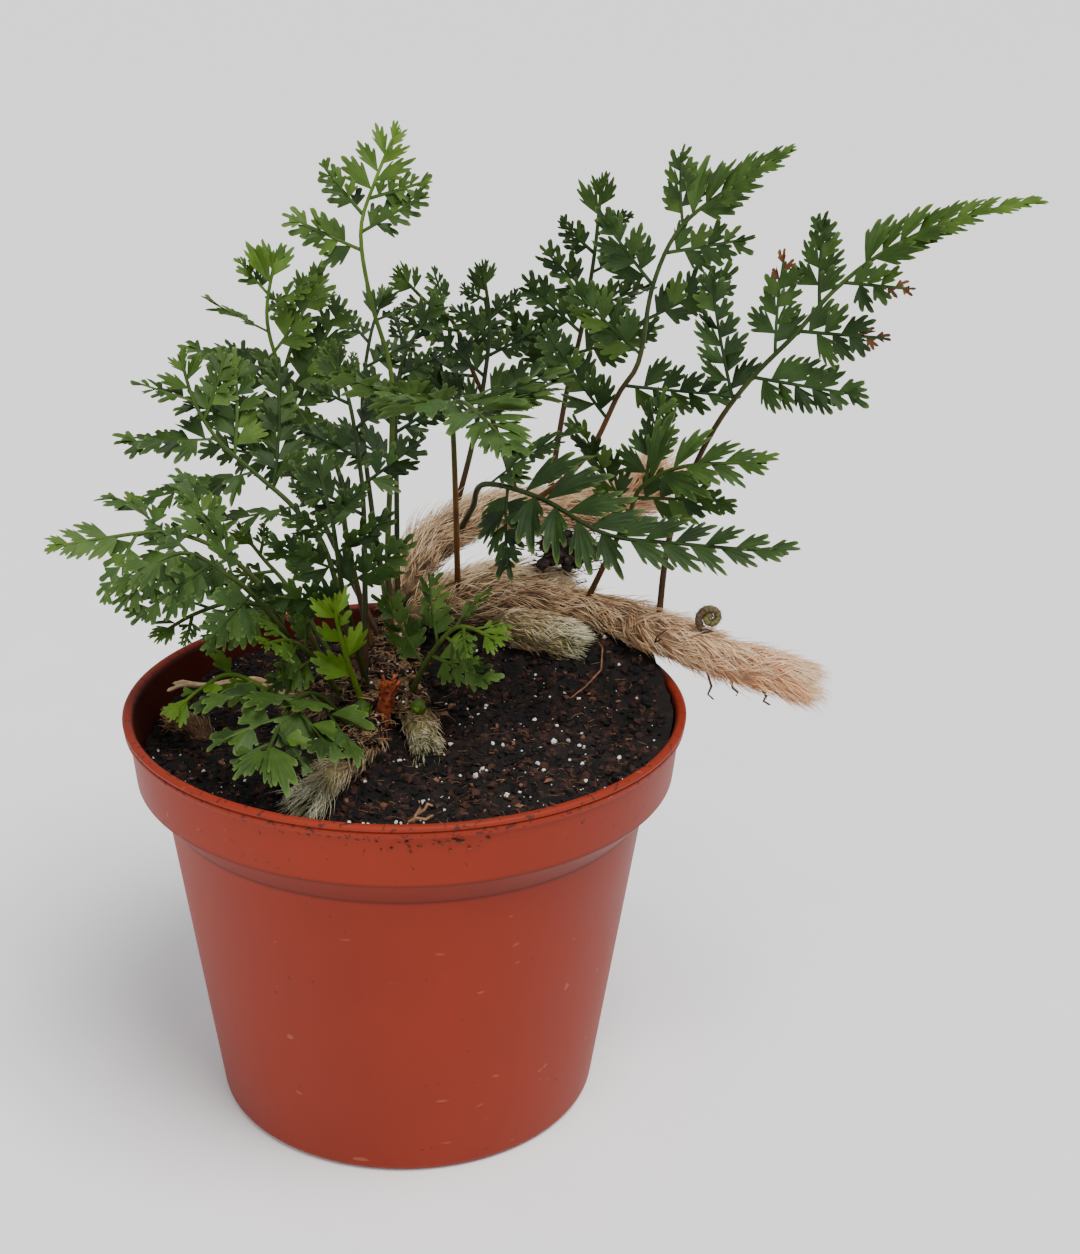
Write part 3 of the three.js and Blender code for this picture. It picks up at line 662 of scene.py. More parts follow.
# Each branch by its route and its radius at both ends, and how it is furred: hairs, their length
# from the old end to the tip, how far they stand off in degrees, how blond the tip is, how green,
# and how light the hairs are
BRANCHES = {
    "creeping": dict(
        route=[[4, 44, 96], [22, 41, 98], [35, 35, 99], [49, 26, 99], [60, 14, 99], [71, 6, 97],
               [85, 0, 95]],
        radius=(6.0, 5.2), hairs=6400, length=(8.0, 6.5), stand=(21, 16), blond=(0.05, 1.0),
        green=(0.0, 0.0), light=(0.66, 1.0)),
    "arch": dict(
        route=[[-3, 40, 97], [1, 44, 105], [8, 46, 112], [17, 47, 117], [30, 48, 118],
               [43, 48, 119], [52, 46, 122], [57, 44, 127]],
        radius=(5.5, 4.6), hairs=5200, length=(9.0, 9.5), stand=(22, 26), blond=(0.1, 0.85),
        green=(0.0, 0.0), light=(0.74, 1.0)),
    "low_arch": dict(
        route=[[0, 38, 94], [8, 40, 99], [18, 42, 102], [34, 44, 101]],
        radius=(5.0, 5.0), hairs=1900, length=(8.0, 9.0), stand=(24, 24), blond=(0.2, 0.0),
        green=(0.1, 0.3), light=(0.75, 0.9)),
    "stub": dict(
        route=[[20, 33, 95.5], [30, 26, 96], [38, 21, 95.5]],
        radius=(5.0, 6.0), hairs=1900, length=(6.0, 4.0), stand=(22, 32), blond=(0.1, 0.1),
        green=(0.2, 0.9), light=(0.6, 0.75)),
    "front": dict(
        route=[[-2, 42, 94], [-3, 26, 92], [-1, 12, 89], [2, 0, 87], [4, -13, 85]],
        radius=(5.4, 3.6), hairs=1600, length=(3.2, 4.6), stand=(36, 26), blond=(0.3, 0.1),
        green=(0.0, 0.9), light=(0.4, 0.6)),
    "front_left": dict(
        route=[[-2, 24, 90], [-7, 4, 87.5], [-10, -12, 85.5], [-15, -23, 84.5], [-19, -32, 84]],
        radius=(5.6, 3.0), hairs=1500, length=(2.5, 8.5), stand=(32, 20), blond=(0.25, 0.2),
        green=(0.0, 1.0), light=(0.26, 1.0)),
    "left": dict(
        route=[[-1, 26, 91], [-10, 14, 90], [-17, 6, 90], [-24, 2, 88]],
        radius=(6.0, 4.0), hairs=1300, length=(3.0, 4.0), stand=(34, 36), blond=(0.0, 0.0),
        green=(0.0, 0.1), light=(0.3, 0.35)),
    "side_shoot": dict(
        route=[[-42, 4, 78], [-46, 3, 84], [-50, 0, 87]],
        radius=(3.4, 3.0), hairs=420, length=(2.0, 3.2), stand=(14, 16), blond=(0.3, 0.4),
        green=(0.0, 0.0), light=(0.36, 0.42)),
}
SKIN_SHARE, LOCKS = 0.74, 509


def limb_of(name):
    """A branch's route and its numbers."""
    return Route(BRANCHES[name]["route"]), BRANCHES[name]


def limb_radius(s, radius, length):
    """Radius along a limb: from its first to its last value, drawn in at both ends as a dome."""
    thickness = mix(radius[0], radius[1], s)
    from_end = np.clip(np.minimum(s, 1 - s) * length / thickness, 0, 1)
    return thickness * np.sqrt(np.maximum(1 - (1 - from_end) ** 2, 0))


def put_skin(pile, name):
    """The bare limb under the hairs, uneven by a tenth of its radius."""
    route, limb = limb_of(name)
    s, sides = (1 - np.cos(np.linspace(0, np.pi, 60))) / 2, 24
    lumps = 1 + 0.12 * (rough(s * route.length, 0 * s + len(name) * 7, 4) - 0.5)
    radii = limb_radius(s, limb["radius"], route.length) * SKIN_SHARE * lumps
    share = ringed(s, sides)
    pile.put(*tubes(route.at(s), radii, sides), ripe=mix(*limb["blond"], share ** 2) * 0.6,
             rib=mix(*limb["green"], share))


def put_fur(pile, name):
    """Hairs of one branch. Each starts at a random place on the skin, leaves it at a small angle
    and bends back along the limb. Hairs that start within the same few millimetres form a tuft
    that leans its own way and has its own lightness, and those round the tip spread like a
    brush. Every hair is a three-sided tube that narrows to its point."""
    route, limb = limb_of(name)
    count = limb["hairs"]
    s = random.random(count) ** 0.85
    s = np.where(random.random(count) < 0.16, 1 - 0.06 * random.random(count), s)
    turn = random.random(count) * TURN
    wave = 0.8 * np.sin(turn * 2 + 1) + 0.5 * np.sin(turn * 5)
    ring = np.floor(s * route.length / 3.0 + wave).astype(int) + 9
    sector = np.floor(turn * 8 / TURN + 0.5 * np.sin(s * 60)).astype(int)
    lean, rise, shade, reach = (spread * random.standard_normal(LOCKS)[(ring * 13 + sector) % LOCKS]
                                for spread in (0.36, 8, 0.13, 0.2))
    forward = route.along(s)
    side, normal = frame_at(forward, UP)
    spoke, around = turned(side, normal, turn), turned(normal, -side, turn)
    radius = limb_radius(s, limb["radius"], route.length) * SKIN_SHARE * 0.95
    base = route.at(s) + spoke * radius[:, None]
    at_tip = np.clip((s - 0.94) / 0.06, 0, 1)
    length = mix(*limb["length"], s) * np.clip(1 + reach, 0.5, 1.4) * chance(count, 0.65, 0.5)
    stand = np.radians(mix(*limb["stand"], s) + rise + 6 * random.standard_normal(count))
    stand = mix(stand, 0.55 * stand + 0.1, at_tip)
    sideways = lean[:, None] * around + 0.09 * random.standard_normal((count, 3))
    start = unit(turned(forward, spoke, stand) + sideways)
    end = unit(forward + sideways * 1.4 + (0.14 - 0.24 * (1 - at_tip))[:, None] * spoke)
    t = np.array([0.0, 0.08, 0.55, 1.0])[:, None]
    bent = start[:, None] * (t - 0.5 * t ** 2) + end[:, None] * (0.5 * t ** 2)
    lines = base[:, None] + length[:, None, None] * bent
    # Real hairs are 0.05 mm thick; these are drawn 0.2 mm thick and fewer, so that they show
    width = chance(count, 0.07, 0.05)[:, None] * np.array([0, 1.0, 0.85, 0])
    # Painted light and shade: hairs on the upper side of the limb are lighter, and those underneath
    # up to four tenths darker
    lit_from_above = np.clip(0.5 + 0.5 * spoke[:, 2], 0, 1)
    light = (mix(*limb["light"], s ** 2) * (0.6 + 0.4 * lit_from_above) + shade
             + 0.15 * random.standard_normal(count))
    from_root = ringed(np.array([-0.4, -0.32, 0.04, 0.2]), 3)
    pile.put(*tubes(lines, width, 3), tone=np.clip(light[:, None] + from_root, 0, 1),
             ripe=np.clip(mix(*limb["blond"], s ** 2.5), 0, 1), rib=mix(*limb["green"], s ** 3))


def build_rhizomes(skin, hair):
    """The bare limbs in one piece, then their hairs in pieces of a few branches each."""
    limbs, shoot = Pile(), Pile()
    for name in BRANCHES:
        put_skin(shoot if name == "side_shoot" else limbs, name)
    limbs.made("rhizome_limbs", skin, "fur", ["rhizome"])
    shoot.made("side_shoot_limb", skin, "fur", ["left_shoot"])
    for piece, names in {"creeping_fur": ["creeping"], "arch_fur": ["arch", "low_arch"],
                         "root_fur": ["stub", "front", "front_left", "left", "side_shoot"]}.items():
        pile = Pile()
        for name in names:
            put_fur(pile, name)
        pile.made(piece, hair, "fur")


# ---------------------------------------------------------------- fronds

STIPE_HALF, TIP_HALF = 0.75, 0.35
PINNA_BOW, PINNA_CROWDING, SHORTEST_PINNA = 0.14, 1.25, 2.5
LONGEST_PINNULE, SIMPLE_PINNA = 9.0, 5.5

# Each frond by its place in the plant, with the numbers that its solid has: its route, the bare
# share of it, the pairs of pinnae, the longest pinna (reach), the way its upper face looks, how
# far the pinnae turn to the light (lift), how far they sag, how their length falls off (taper)
# and the degrees at which they open. Then its looks: where its closed end starts (spear), the
# blades of that end, how broad and how deeply notched the pinnules are, how young its foot and
# tip are (ripe), how light it is (tone), and how far up its stalk is brown. A frond has the usual
# value wherever its own row names none.
USUAL = dict(bare=0.5, pairs=3, face=(0, -0.9, 0.4), tip_face=None, lift=0.2, sag=0.1, taper=0.7,
             opening=60, spear=0.8, blade=None, flare=34, blade_gap=2.0, spear_notch=0.13,
             simple=False, pinnule=None, fans=None, broad=1.0, notch=0.28, withered=(),
             ripe=(0.0, 0.1), tone=0.5, brown=0.0)
FRONDS = {
    "tall": dict(
        route=[[-3, 20, 91], [-4, 22, 115], [-3, 26, 139], [-3, 28, 156], [-7, 28, 171],
               [-9, 27, 186], [-6, 30, 196], [-1, 35, 207]],
        bare=0.77, pairs=4, reach=16, face=(0, -0.6, 0.8), lift=0.3, taper=0.5, spear=0.45,
        blade=11, flare=62, spear_notch=0.24, ripe=(0.15, 0.6), tone=0.55, brown=0.15),
    "left": dict(
        route=[[-11, 17, 90], [-17, 17, 118], [-24, 19, 128], [-32, 21, 135], [-40, 23, 142],
               [-45, 25, 150], [-48, 28, 160]],
        pairs=4, reach=31, face=(0.2, -0.9, 0.3), lift=0.7, blade=8, flare=48, ripe=(0.1, 0.2),
        brown=0.2),
    "far_left": dict(
        route=[[-17, 9, 90], [-21, 7, 104], [-29, 4, 114], [-38, 2, 124], [-49, 0, 129],
               [-62, -4, 129], [-72, -10, 129]],
        pairs=4, reach=21, face=(0, -0.7, 0.6), sag=0.3, spear=0.6, blade=9, ripe=(0.0, 0.2),
        tone=0.9, brown=0.1),
    "far_left_low": dict(
        route=[[-20, 5, 89], [-24, 1, 103], [-30, -7, 116], [-36, -12, 124], [-45, -16, 130],
               [-58, -22, 124]],
        reach=17, face=(0, -0.6, 0.8), sag=0.2, spear=0.65, blade=8, ripe=(0.0, 0.15), tone=0.65,
        brown=0.1),
    "upper_left": dict(
        route=[[-7, 22, 90], [-13, 27, 118], [-15, 32, 133], [-23, 36, 144], [-28, 38, 156],
               [-30, 40, 166], [-28, 46, 178]],
        bare=0.62, pairs=4, reach=25, lift=0.7, ripe=(0.1, 0.45), brown=0.25),
    "upper_left_back": dict(
        route=[[-5, 28, 92], [-19, 41, 118], [-26, 50, 133], [-29, 54, 142], [-25, 56, 157],
               [-19, 60, 173]],
        reach=20, lift=0.3, ripe=(0.1, 0.2), tone=0.45, brown=0.3),
    "middle_left": dict(
        route=[[-9, 11, 89], [-9, 18, 126], [-10, 18, 140], [-12, 18, 153], [-16, 20, 164]],
        reach=17, lift=0.1, tone=0.4, brown=0.2),
    "middle_back": dict(
        route=[[-2, 34, 93], [-2, 38, 127], [-2, 40, 144], [0, 42, 156], [8, 44, 169]],
        reach=16, face=(0, -0.8, 0.5), tone=0.35, brown=0.2),
    "back_left": dict(
        route=[[-4, 38, 95], [-8, 52, 118], [-10, 62, 138], [-8, 70, 154], [-4, 76, 164]],
        reach=20, face=(0, -0.8, 0.6), lift=0.3, tone=0.4, brown=0.2),
    "back_arch": dict(
        route=[[27, 48, 118], [20, 52, 139], [15, 54, 151], [11, 54, 161], [5, 52, 166],
               [-2, 48, 174]],
        reach=16, face=(0, -0.8, 0.5), ripe=(0.0, 0.15), tone=0.45, brown=0.75),
    "back_centre": dict(
        route=[[10, 46, 113], [15, 48, 132], [18, 48, 149], [19, 46, 163], [17, 42, 177]],
        bare=0.42, pairs=4, reach=17, tone=0.4, brown=0.3),
    "back_right": dict(
        route=[[33, 49, 118], [37, 52, 144], [40, 50, 160], [42, 46, 177], [43, 42, 196]],
        bare=0.4, pairs=5, reach=20, face=(0, -1, 0.3), lift=0.0, ripe=(0.0, 0.15), tone=0.45,
        brown=0.5),
    "main_right": dict(
        route=[[22, 47, 117], [32, 39, 125], [41, 34, 136], [47, 32, 150], [51, 30, 158],
               [53, 27, 175], [58, 24, 188], [68, 18, 198], [78, 12, 206]],
        bare=0.34, pairs=5, reach=24, face=(0, -1, 0.25), tip_face=(0, -0.6, 0.8), lift=0.0,
        taper=0.5, spear=0.66, blade=12, ripe=(0.0, 0.16), tone=0.64, brown=0.45),
    "far_right": dict(
        route=[[56, 18, 99], [58, 22, 118], [62, 22, 133], [67, 20, 146], [73, 14, 158],
               [81, 9, 169], [88, 6, 179], [98, 3, 188], [111, -1, 195], [126, -5, 199]],
        bare=0.42, pairs=6, reach=27, face=(-0.2, -0.9, 0.5), tip_face=(-0.3, -0.4, 0.9),
        taper=1.0, opening=52, spear=0.52, blade=11, withered=(2, 3, 5), ripe=(0.0, 0.45),
        brown=0.4),
    "low_right": dict(
        route=[[12, 45, 113], [15, 34, 123], [17, 20, 133], [28, 4, 135], [41, -8, 131],
               [55, -14, 131], [76, -20, 131]],
        bare=0.33, pairs=6, reach=22, face=(0, -0.8, 0.6), lift=0.0, taper=0.5, opening=54,
        spear=0.16, blade=16.5, flare=54, blade_gap=3.1, spear_notch=0.26, tone=0.4, brown=0.05,
        broad=1.15),
    "right_fan": dict(
        route=[[40, 31, 99], [46, 24, 117], [49, 19, 127], [51, 15, 134], [59, 10, 140],
               [75, 3, 143]],
        bare=0.45, pairs=4, reach=24, face=(0, -0.7, 0.7), spear=0.3, blade=15, flare=46,
        blade_gap=2.8, spear_notch=0.24, ripe=(0.05, 0.15), tone=0.55, brown=0.35),
    "front_centre": dict(
        route=[[12, 39, 100], [11, 26, 128], [10, 10, 148], [9, -8, 158], [12, -30, 164],
               [20, -56, 162]],
        bare=0.52, pairs=4, reach=28, face=(0, -0.3, 1), sag=-0.2, spear=0.62, blade=13, flare=44,
        ripe=(0.0, 0.08), tone=0.85, brown=0.35, broad=1.6, notch=0.2),
    "centre": dict(
        route=[[-8, 8, 88], [-13, -2, 116], [-14, -6, 126], [-15, -10, 136], [-18, -12, 149]],
        bare=0.4, pairs=4, reach=19, face=(0, -0.95, 0.3), lift=0.0, ripe=(0.0, 0.05), broad=1.15),
    "inner_left": dict(
        route=[[-13, 12, 90], [-25, 18, 109], [-31, 20, 116], [-36, 20, 123]],
        bare=0.45, pairs=2, reach=14, face=(0, -0.8, 0.5), ripe=(0.15, 0.3), brown=0.1),
    "low_left": dict(
        route=[[-23, 3, 89], [-27, 6, 107], [-35, 4, 112], [-44, 0, 111], [-52, -6, 108]],
        bare=0.45, reach=14, face=(-0.2, -0.6, 0.8), ripe=(0.1, 0.25)),
    "low_inner": dict(
        route=[[-14, 5, 89], [-19, 0, 100], [-24, -6, 107], [-29, -15, 110]],
        bare=0.42, reach=14, face=(-0.1, -0.7, 0.7), ripe=(0.2, 0.35)),
    "left_tuft": dict(
        route=[[-22, 0.5, 87.5], [-36, 2, 96], [-43, -2, 95], [-49, -6, 91]],
        bare=0.4, pairs=2, reach=8, face=(0, -0.6, 0.8), ripe=(0.6, 0.8), brown=0.2, broad=1.7,
        simple=True, blade=6.5, notch=0.24),
    "front_left": dict(
        route=[[-11, -8, 87], [-18, -14, 98], [-23, -25, 101], [-28, -42, 96]],
        bare=0.4, reach=21, face=(-0.1, -0.6, 0.8), ripe=(0.1, 0.2), tone=0.35, broad=1.6,
        notch=0.2, pinnule=0.62, fans=3, blade=13),
    "young": dict(
        route=[[-9, 1, 88], [-13, -4, 104], [-15, -8, 116]],
        bare=0.35, pairs=2, reach=10, ripe=(0.7, 0.6), broad=1.3, simple=True, notch=0.2,
        opening=38, blade=9),
    "small_centre": dict(
        route=[[0, 5, 88], [5, 0, 101], [11, -6, 110], [19, -14, 110]],
        bare=0.3, pairs=4, reach=18, face=(0.2, -0.6, 0.8), ripe=(0.15, 0.45), tone=0.6),
}


LOBE_PLACES = np.array([-0.37, -0.22, 0.0, 0.22, 0.37])
LOBE_REACHES = np.array([0.87, 0.97, 1.0, 0.97, 0.87])


def swung(a, b, angle):
    """Two directions square to each other, both swung in their plane by angles from a to b."""
    return turned(a, b, angle), turned(b, -a, angle)


def fan_margin(number, notch_depth):
    """The margin of a fan of so many lobes: for each point its place across, from -1 to 1, its
    reach as a share of the fan's length, and whether it is a lobe's tip. The middle lobes reach
    furthest, each lobe is rounded over five points, and the notches lean towards the middle so
    that the outer lobes seem to branch off it."""
    centre = np.array([-0.4, 0.4]) if number == 2 else np.linspace(-0.86, 0.86, number)
    reach = 1 - 0.46 * np.abs(centre) ** 1.3
    gap = centre[1] - centre[0]
    between = (centre[:-1] + centre[1:]) / 2
    notch = between - 0.05 * gap * np.sign(between)
    depth = 1 - notch_depth * (0.75 + 0.45 * np.abs(between))
    notch_reach = depth * (reach[:-1] + reach[1:]) / 2
    places = np.concatenate([(centre + LOBE_PLACES[:, None] * gap).ravel(), notch])
    reaches = np.concatenate([(reach * LOBE_REACHES[:, None]).ravel(), notch_reach])
    tips = np.repeat([False, True, False], [2 * number, number, 3 * number - 1])
    order = np.argsort(places)
    return places[order], reaches[order], tips[order]


def put_pinnules(pile, base, axis, side, normal, length, spread, lobes, tone, ripe=0.0, brown=0.0,
                 notch_depth=0.28):
    """Fan-shaped pinnules. A point lies a share v of the way from the base to the margin, at an
    angle that grows from left to right; the margin is furthest in the middle and is cut into
    rounded lobes. Its height is an arch, plus a fold along the middle, less a droop that grows
    with the square of the distance. The underside goes straight from base to margin."""
    length, spread, lobes, tone, ripe, brown = (
        np.broadcast_to(value, len(base)) for value in (length, spread, lobes, tone, ripe, brown))
    for number in np.unique(lobes):
        which = lobes == number
        count = which.sum()
        places, reaches, tips = fan_margin(number, notch_depth)
        wide = len(places)
        margin = reaches * (1 + 0.025 * random.standard_normal((count, wide)))
        skew = 0.12 * random.standard_normal((count, 1))
        angle = (places + skew * (1 - places ** 2)) * spread[which, None]
        spoke = turned(axis[which, None], side[which, None], angle)
        droop = 0.06 + 0.12 * random.random((count, 1))
        fold = (0.12 + 0.25 * random.standard_normal((count, 1))) * np.abs(np.sin(angle))
        halfway = 0.55 * (1 - 0.46 * np.abs(places) ** 1.3) + 0 * margin
        points = [base[which, None]]
        for v in (halfway, margin):
            height = (0.2 * v * (1 - v) + fold * v - droop * v ** 2)[..., None]
            points.append(base[which, None] + (spoke * v[..., None] + normal[which, None] * height)
                          * length[which, None, None])
        k = np.arange(wide - 1)
        inner, outer = 1 + k, 1 + wide + k
        upper = np.stack([0 * k, inner + 1, inner], axis=1)
        band = np.stack([inner, inner + 1, outer + 1, outer], axis=1)
        lower = np.stack([0 * k, outer, outer + 1], axis=1)
        slivers = np.array([[0, 1, 1 + wide], [0, 2 * wide, wide]])
        shift = (np.arange(count) * (1 + 2 * wide))[:, None, None]
        groups = [(group + shift).reshape(-1, group.shape[1])
                  for group in (upper, band, lower, slivers)]
        out = np.concatenate([[0], np.full(wide, 0.5), np.ones(wide)])
        rib = np.concatenate([[0.5], np.tile(tips, 2)])
        pile.put(np.concatenate(points, axis=1), groups, tone=tone[which], ripe=ripe[which],
                 out=np.tile(out, count), rib=np.tile(rib, count), brown=brown[which],
                 under=(0, 0, 1, 1))


def put_pinna(pile, spec, foot, forward, ahead, normal, length, room, share, shade, withered):
    """One pinna: a thin flat rib that bows towards the frond's tip and sags, with pinnules left
    and right in turn that shorten and close up towards its tip, and one at the end."""
    ripe = mix(*spec["ripe"], share ** 2)
    broad, sag = spec["broad"], spec["sag"]

    def place_at(t):
        t = np.asarray(t, float)[..., None]
        return (foot + forward * length * t + ahead * length * PINNA_BOW * t * t
                - UP * length * sag * t * t)

    simple = length < SIMPLE_PINNA or spec["simple"]
    longest = min(LONGEST_PINNULE, 0.5 * length, max(0.95 * room, 0.44 * length, 3.5))
    longest = (spec["pinnule"] or longest * broad ** 0.25 / length) * length
    count = 0
    if not simple:
        t = np.concatenate([[-0.03, 0.0], np.linspace(0.12, 0.9, 6), [0.97]])
        rib = tubes(place_at(t), mix(0.42, 0.3, np.clip(t, 0, 1)), 6, normal, 0.6)
        pile.put(*rib, tone=shade, ripe=ripe, rib=0.6)
        crowd = np.clip(round(length / (0.24 * longest * broad ** 0.5)), 4, 12)
        count = spec["fans"] or int(crowd)
    start = min(0.2, 1.6 / length)
    t = start + (0.9 - start) * (np.arange(count) + 0.3) / max(count, 1)
    hand = np.where(np.arange(count) % 2 == random.integers(2), 1.0, -1.0)
    angle = np.radians(mix(52, 26, t) + 6 * random.standard_normal(count))
    reach = longest * (1.05 - 0.5 * t) * chance(count, 0.88, 0.24)
    t, hand = np.append(t, 0.0 if simple else 0.84), np.append(hand, 1.0)
    angle = np.append(angle, 0.0)
    reach = np.append(reach, length * 1.05 if simple else max(0.22 * length, 0.6 * longest))
    heading = unit(place_at(t + 0.02) - place_at(t - 0.02))
    side, out = frame_at(heading, normal)
    count = len(t)
    axis, across = swung(heading, side, hand * angle)
    axis, out = swung(axis, out, -(0.05 + 0.14 * random.standard_normal(count)))
    across, out = swung(across, out, 0.22 * random.standard_normal(count))
    lobes = np.clip(np.round(reach / 1.6), 2, 6).astype(int)
    spread = np.radians(np.where(lobes > 3, 31, 27)) * broad
    spread[-1] *= 0.8
    tone = np.clip(shade + 0.12 * random.standard_normal(count), 0, 1)
    brown = np.where(withered & (t > 0.6), 1.0, 0.0)
    put_pinnules(pile, place_at(t), axis, across, out, np.where(brown > 0, 0.6 * reach, reach),
                 spread, lobes, tone, np.clip(ripe + 0.06 * random.standard_normal(count), 0, 1),
                 brown, spec["notch"])


def put_spear(pile, route, spec, face, tip_face, start):
    """The closed end of a frond: its last pinnae lie forward along the stalk as overlapping lobed
    blades, left and right in turn every few millimetres, and shorten to the tip."""
    count = max(4, int((1 - start) * route.length / spec["blade_gap"]))
    x = (np.arange(count) + 0.2) / count
    s = mix(start, 0.985, x)
    forward = route.along(s)
    share = (s - spec["bare"]) / (1 - spec["bare"])
    side, normal = frame_at(forward, unit(mix(face, tip_face, share[:, None])))
    hand = np.where(np.arange(count) % 2, 1.0, -1.0)
    turn = np.radians(mix(spec["flare"], 13, x) + 3 * random.standard_normal(count))
    axis, across = swung(forward, side, hand * turn)
    axis, normal = swung(axis, normal, 0.08 + 0.07 * random.standard_normal(count))
    blade = spec["blade"] or 0.42 * spec["reach"]
    put_pinnules(pile, route.at(s), axis, across, normal,
                 blade * (1 - 0.6 * x) * chance(count, 0.9, 0.2), np.radians(mix(24, 20, x)),
                 np.where(x < 0.8, 5, 4),
                 np.clip(spec["tone"] + 0.1 * random.standard_normal(count), 0, 1),
                 mix(*spec["ripe"], share ** 2), notch_depth=spec["spear_notch"])


def build_frond(name, spec, material):
    """One frond: a stalk that thins along its route, and pinnae left and right in turn whose
    length falls off to the tip, placed by the same rule as in the solid."""
    spec = {**USUAL, **spec}
    route, bare, tone = Route(spec["route"]), spec["bare"], spec["tone"]
    face = unit(np.array(spec["face"], float))
    tip_face = unit(np.array(spec["tip_face"] or spec["face"], float))
    pile = Pile()
    s = np.concatenate([[0.0, 0.004], np.linspace(0.03, 0.97, 44), [0.985]])
    radii = mix(STIPE_HALF, TIP_HALF, s) * np.where(s < 0.02, 1.15, 1.0)
    along = ringed(s, 8)
    brown = np.clip((spec["brown"] - along) / 0.2 + 0.5, 0, 1) * (0.9 if spec["brown"] > 0 else 0.0)
    pile.put(*tubes(route.at(s), radii, 8, face + 0.01 * UP), tone=tone, rib=0.6,
             ripe=mix(*spec["ripe"], along ** 3), brown=np.maximum(brown, 0.3 * (1 - along)))
    pinna_count = 2 * spec["pairs"]

    def pinna_at(k):
        left = np.maximum(0, 1 - k / (pinna_count + 1))
        return 1 - (1 - bare) * left ** PINNA_CROWDING

    for k in range(pinna_count):
        s = pinna_at(k)
        share = max(0, (s - bare) / (1 - bare))
        if share > spec["spear"]:
            continue
        forward = route.along(s)
        side, normal = frame_at(forward, unit(mix(face, tip_face, share)))
        hand = 1 if k % 2 else -1
        angle = np.radians(mix(1.0, 0.8, share) * spec["opening"])
        normal = unit(mix(normal, UP, spec["lift"]) + 0.18 * random.standard_normal(3))
        put_pinna(pile, spec, foot=route.at(s) + side * hand * 0.3 * STIPE_HALF,
                  forward=turned(forward, side, hand * angle), ahead=forward, normal=normal,
                  length=max(SHORTEST_PINNA, spec["reach"] * (1 - share) ** spec["taper"]),
                  room=(pinna_at(k + 2) - s) * route.length * np.sin(angle), share=share,
                  shade=tone + 0.08 * random.standard_normal(), withered=k in spec["withered"])
    put_spear(pile, route, spec, face, tip_face, mix(bare, 1, spec["spear"]))
    last = pinna_at(pinna_count - 1)
    forward = route.along(mix(last, 1, 0.4))
    side, normal = frame_at(forward, tip_face)
    put_pinnules(pile, route.at(mix(last, 1, 0.25))[None], forward[None], side[None], normal[None],
                 (1 - last) * route.length * 0.85, np.radians(22.0), 5, tone, spec["ripe"][1])
    pile.made("frond_" + name + "_leaf", material, "leaf", ["frond_" + name], crease=75)


# ---------------------------------------------------------------- smaller growths

def build_crozier(material):
    """A rolled-up young frond: a short stalk that coils in towards its tip, with brown scales."""
    x, y, z = 66.3, 9, 105.9
    step = np.arange(19) / 18
    angle = np.radians(236 - 600 * step)
    radius = mix(3.1, 0.2, step ** 0.7)
    coil = np.stack([x + radius * np.cos(angle), y + 0 * step, z + radius * np.sin(angle)], axis=1)
    route = Route(np.vstack([[x + 3.2, y, z - 6.2], [x + 1.4, y, z - 4.4], coil]))
    s, bumps = np.linspace(0, 1, 90), 140
    thick = mix(0.85, 0.8, s) * (1 + 0.05 * np.sin(s * bumps)) * np.where(s > 0.97, 0.6, 1)
    along = ringed(s, 10)
    pile = Pile()
    pile.put(*tubes(route.at(s), thick, 10, TOWARD_VIEWER),
             tone=0.1 + 0.75 * along + 0.08 * np.sin(along * bumps))
    s, turn = chance(220), chance(220) * TURN
    forward = route.along(s)
    spoke = turned(*frame_at(forward, TOWARD_VIEWER), turn)
    t = np.array([0, 0.1, 0.6, 1.0])[:, None]
    lines = (route.at(s) + spoke * 0.45)[:, None] + (0.6 * forward + 0.8 * spoke)[:, None] * t * 1.1
    pile.put(*tubes(lines, 0.07 * np.array([0, 1, 0.8, 0]), 3), tone=0.35)
    pile.made("rolled_frond", material, "crozier", ["crozier"])


def build_old_stub(material):
    """The foot of an old stalk: a short stem ringed by overlapping rusty scales that stand off."""
    route = Route([[-6, -3, 85], [-4.5, -4, 92], [-3.5, -4, 97]])
    s = np.linspace(0, 1, 26)
    pile = Pile()
    pile.put(*tubes(route.at(s), limb_radius(s, (1.6, 1.3), route.length) + 0.2, 12), tone=0.35)
    count = 90
    s, turn = chance(count, 0.25, 0.75), chance(count) * TURN
    forward = route.along(s)
    spoke = turned(*frame_at(forward, TOWARD_VIEWER), turn)
    put_pinnules(pile, route.at(s) + spoke * 1.1, unit(forward + 0.75 * spoke),
                 np.cross(forward, spoke), unit(spoke - 0.6 * forward), length=chance(count, 1.5),
                 spread=0.5, lobes=2, tone=chance(count))
    pile.made("rusty_stub", material, "stub", ["old_stub"], crease=60)


def build_dry_stalk(material):
    """A withered stalk that lies over the peat: a bent tube, split into strands at its end."""
    route = Route([[-22, 4, 87], [-32, 13, 90], [-43, 11, 90], [-51, 10, 91]])
    s = np.linspace(0, 1, 40)
    pile = Pile()
    pile.put(*tubes(route.at(s), mix(0.9, 0.55, s) * (1 + 0.15 * np.sin(s * 31)), 10), tone=0.55)
    spare = [[[-30, 10, 89.5], [-31, 10.5, 90], [-38, 8, 91.5], [-45, 9, 91], [-49, 12, 90.5],
              [-50, 12.5, 90.5]],
             [[-44, 10, 90], [-44.5, 9.8, 90.3], [-47, 8, 91.4], [-49, 7, 91.6], [-51, 5, 91.5],
              [-51.5, 4.6, 91.4]]]
    pile.put(*tubes(spare, 0.42, 6), tone=0.75)
    pile.made("withered_stalk", material, "straw", ["dry_stalk"])


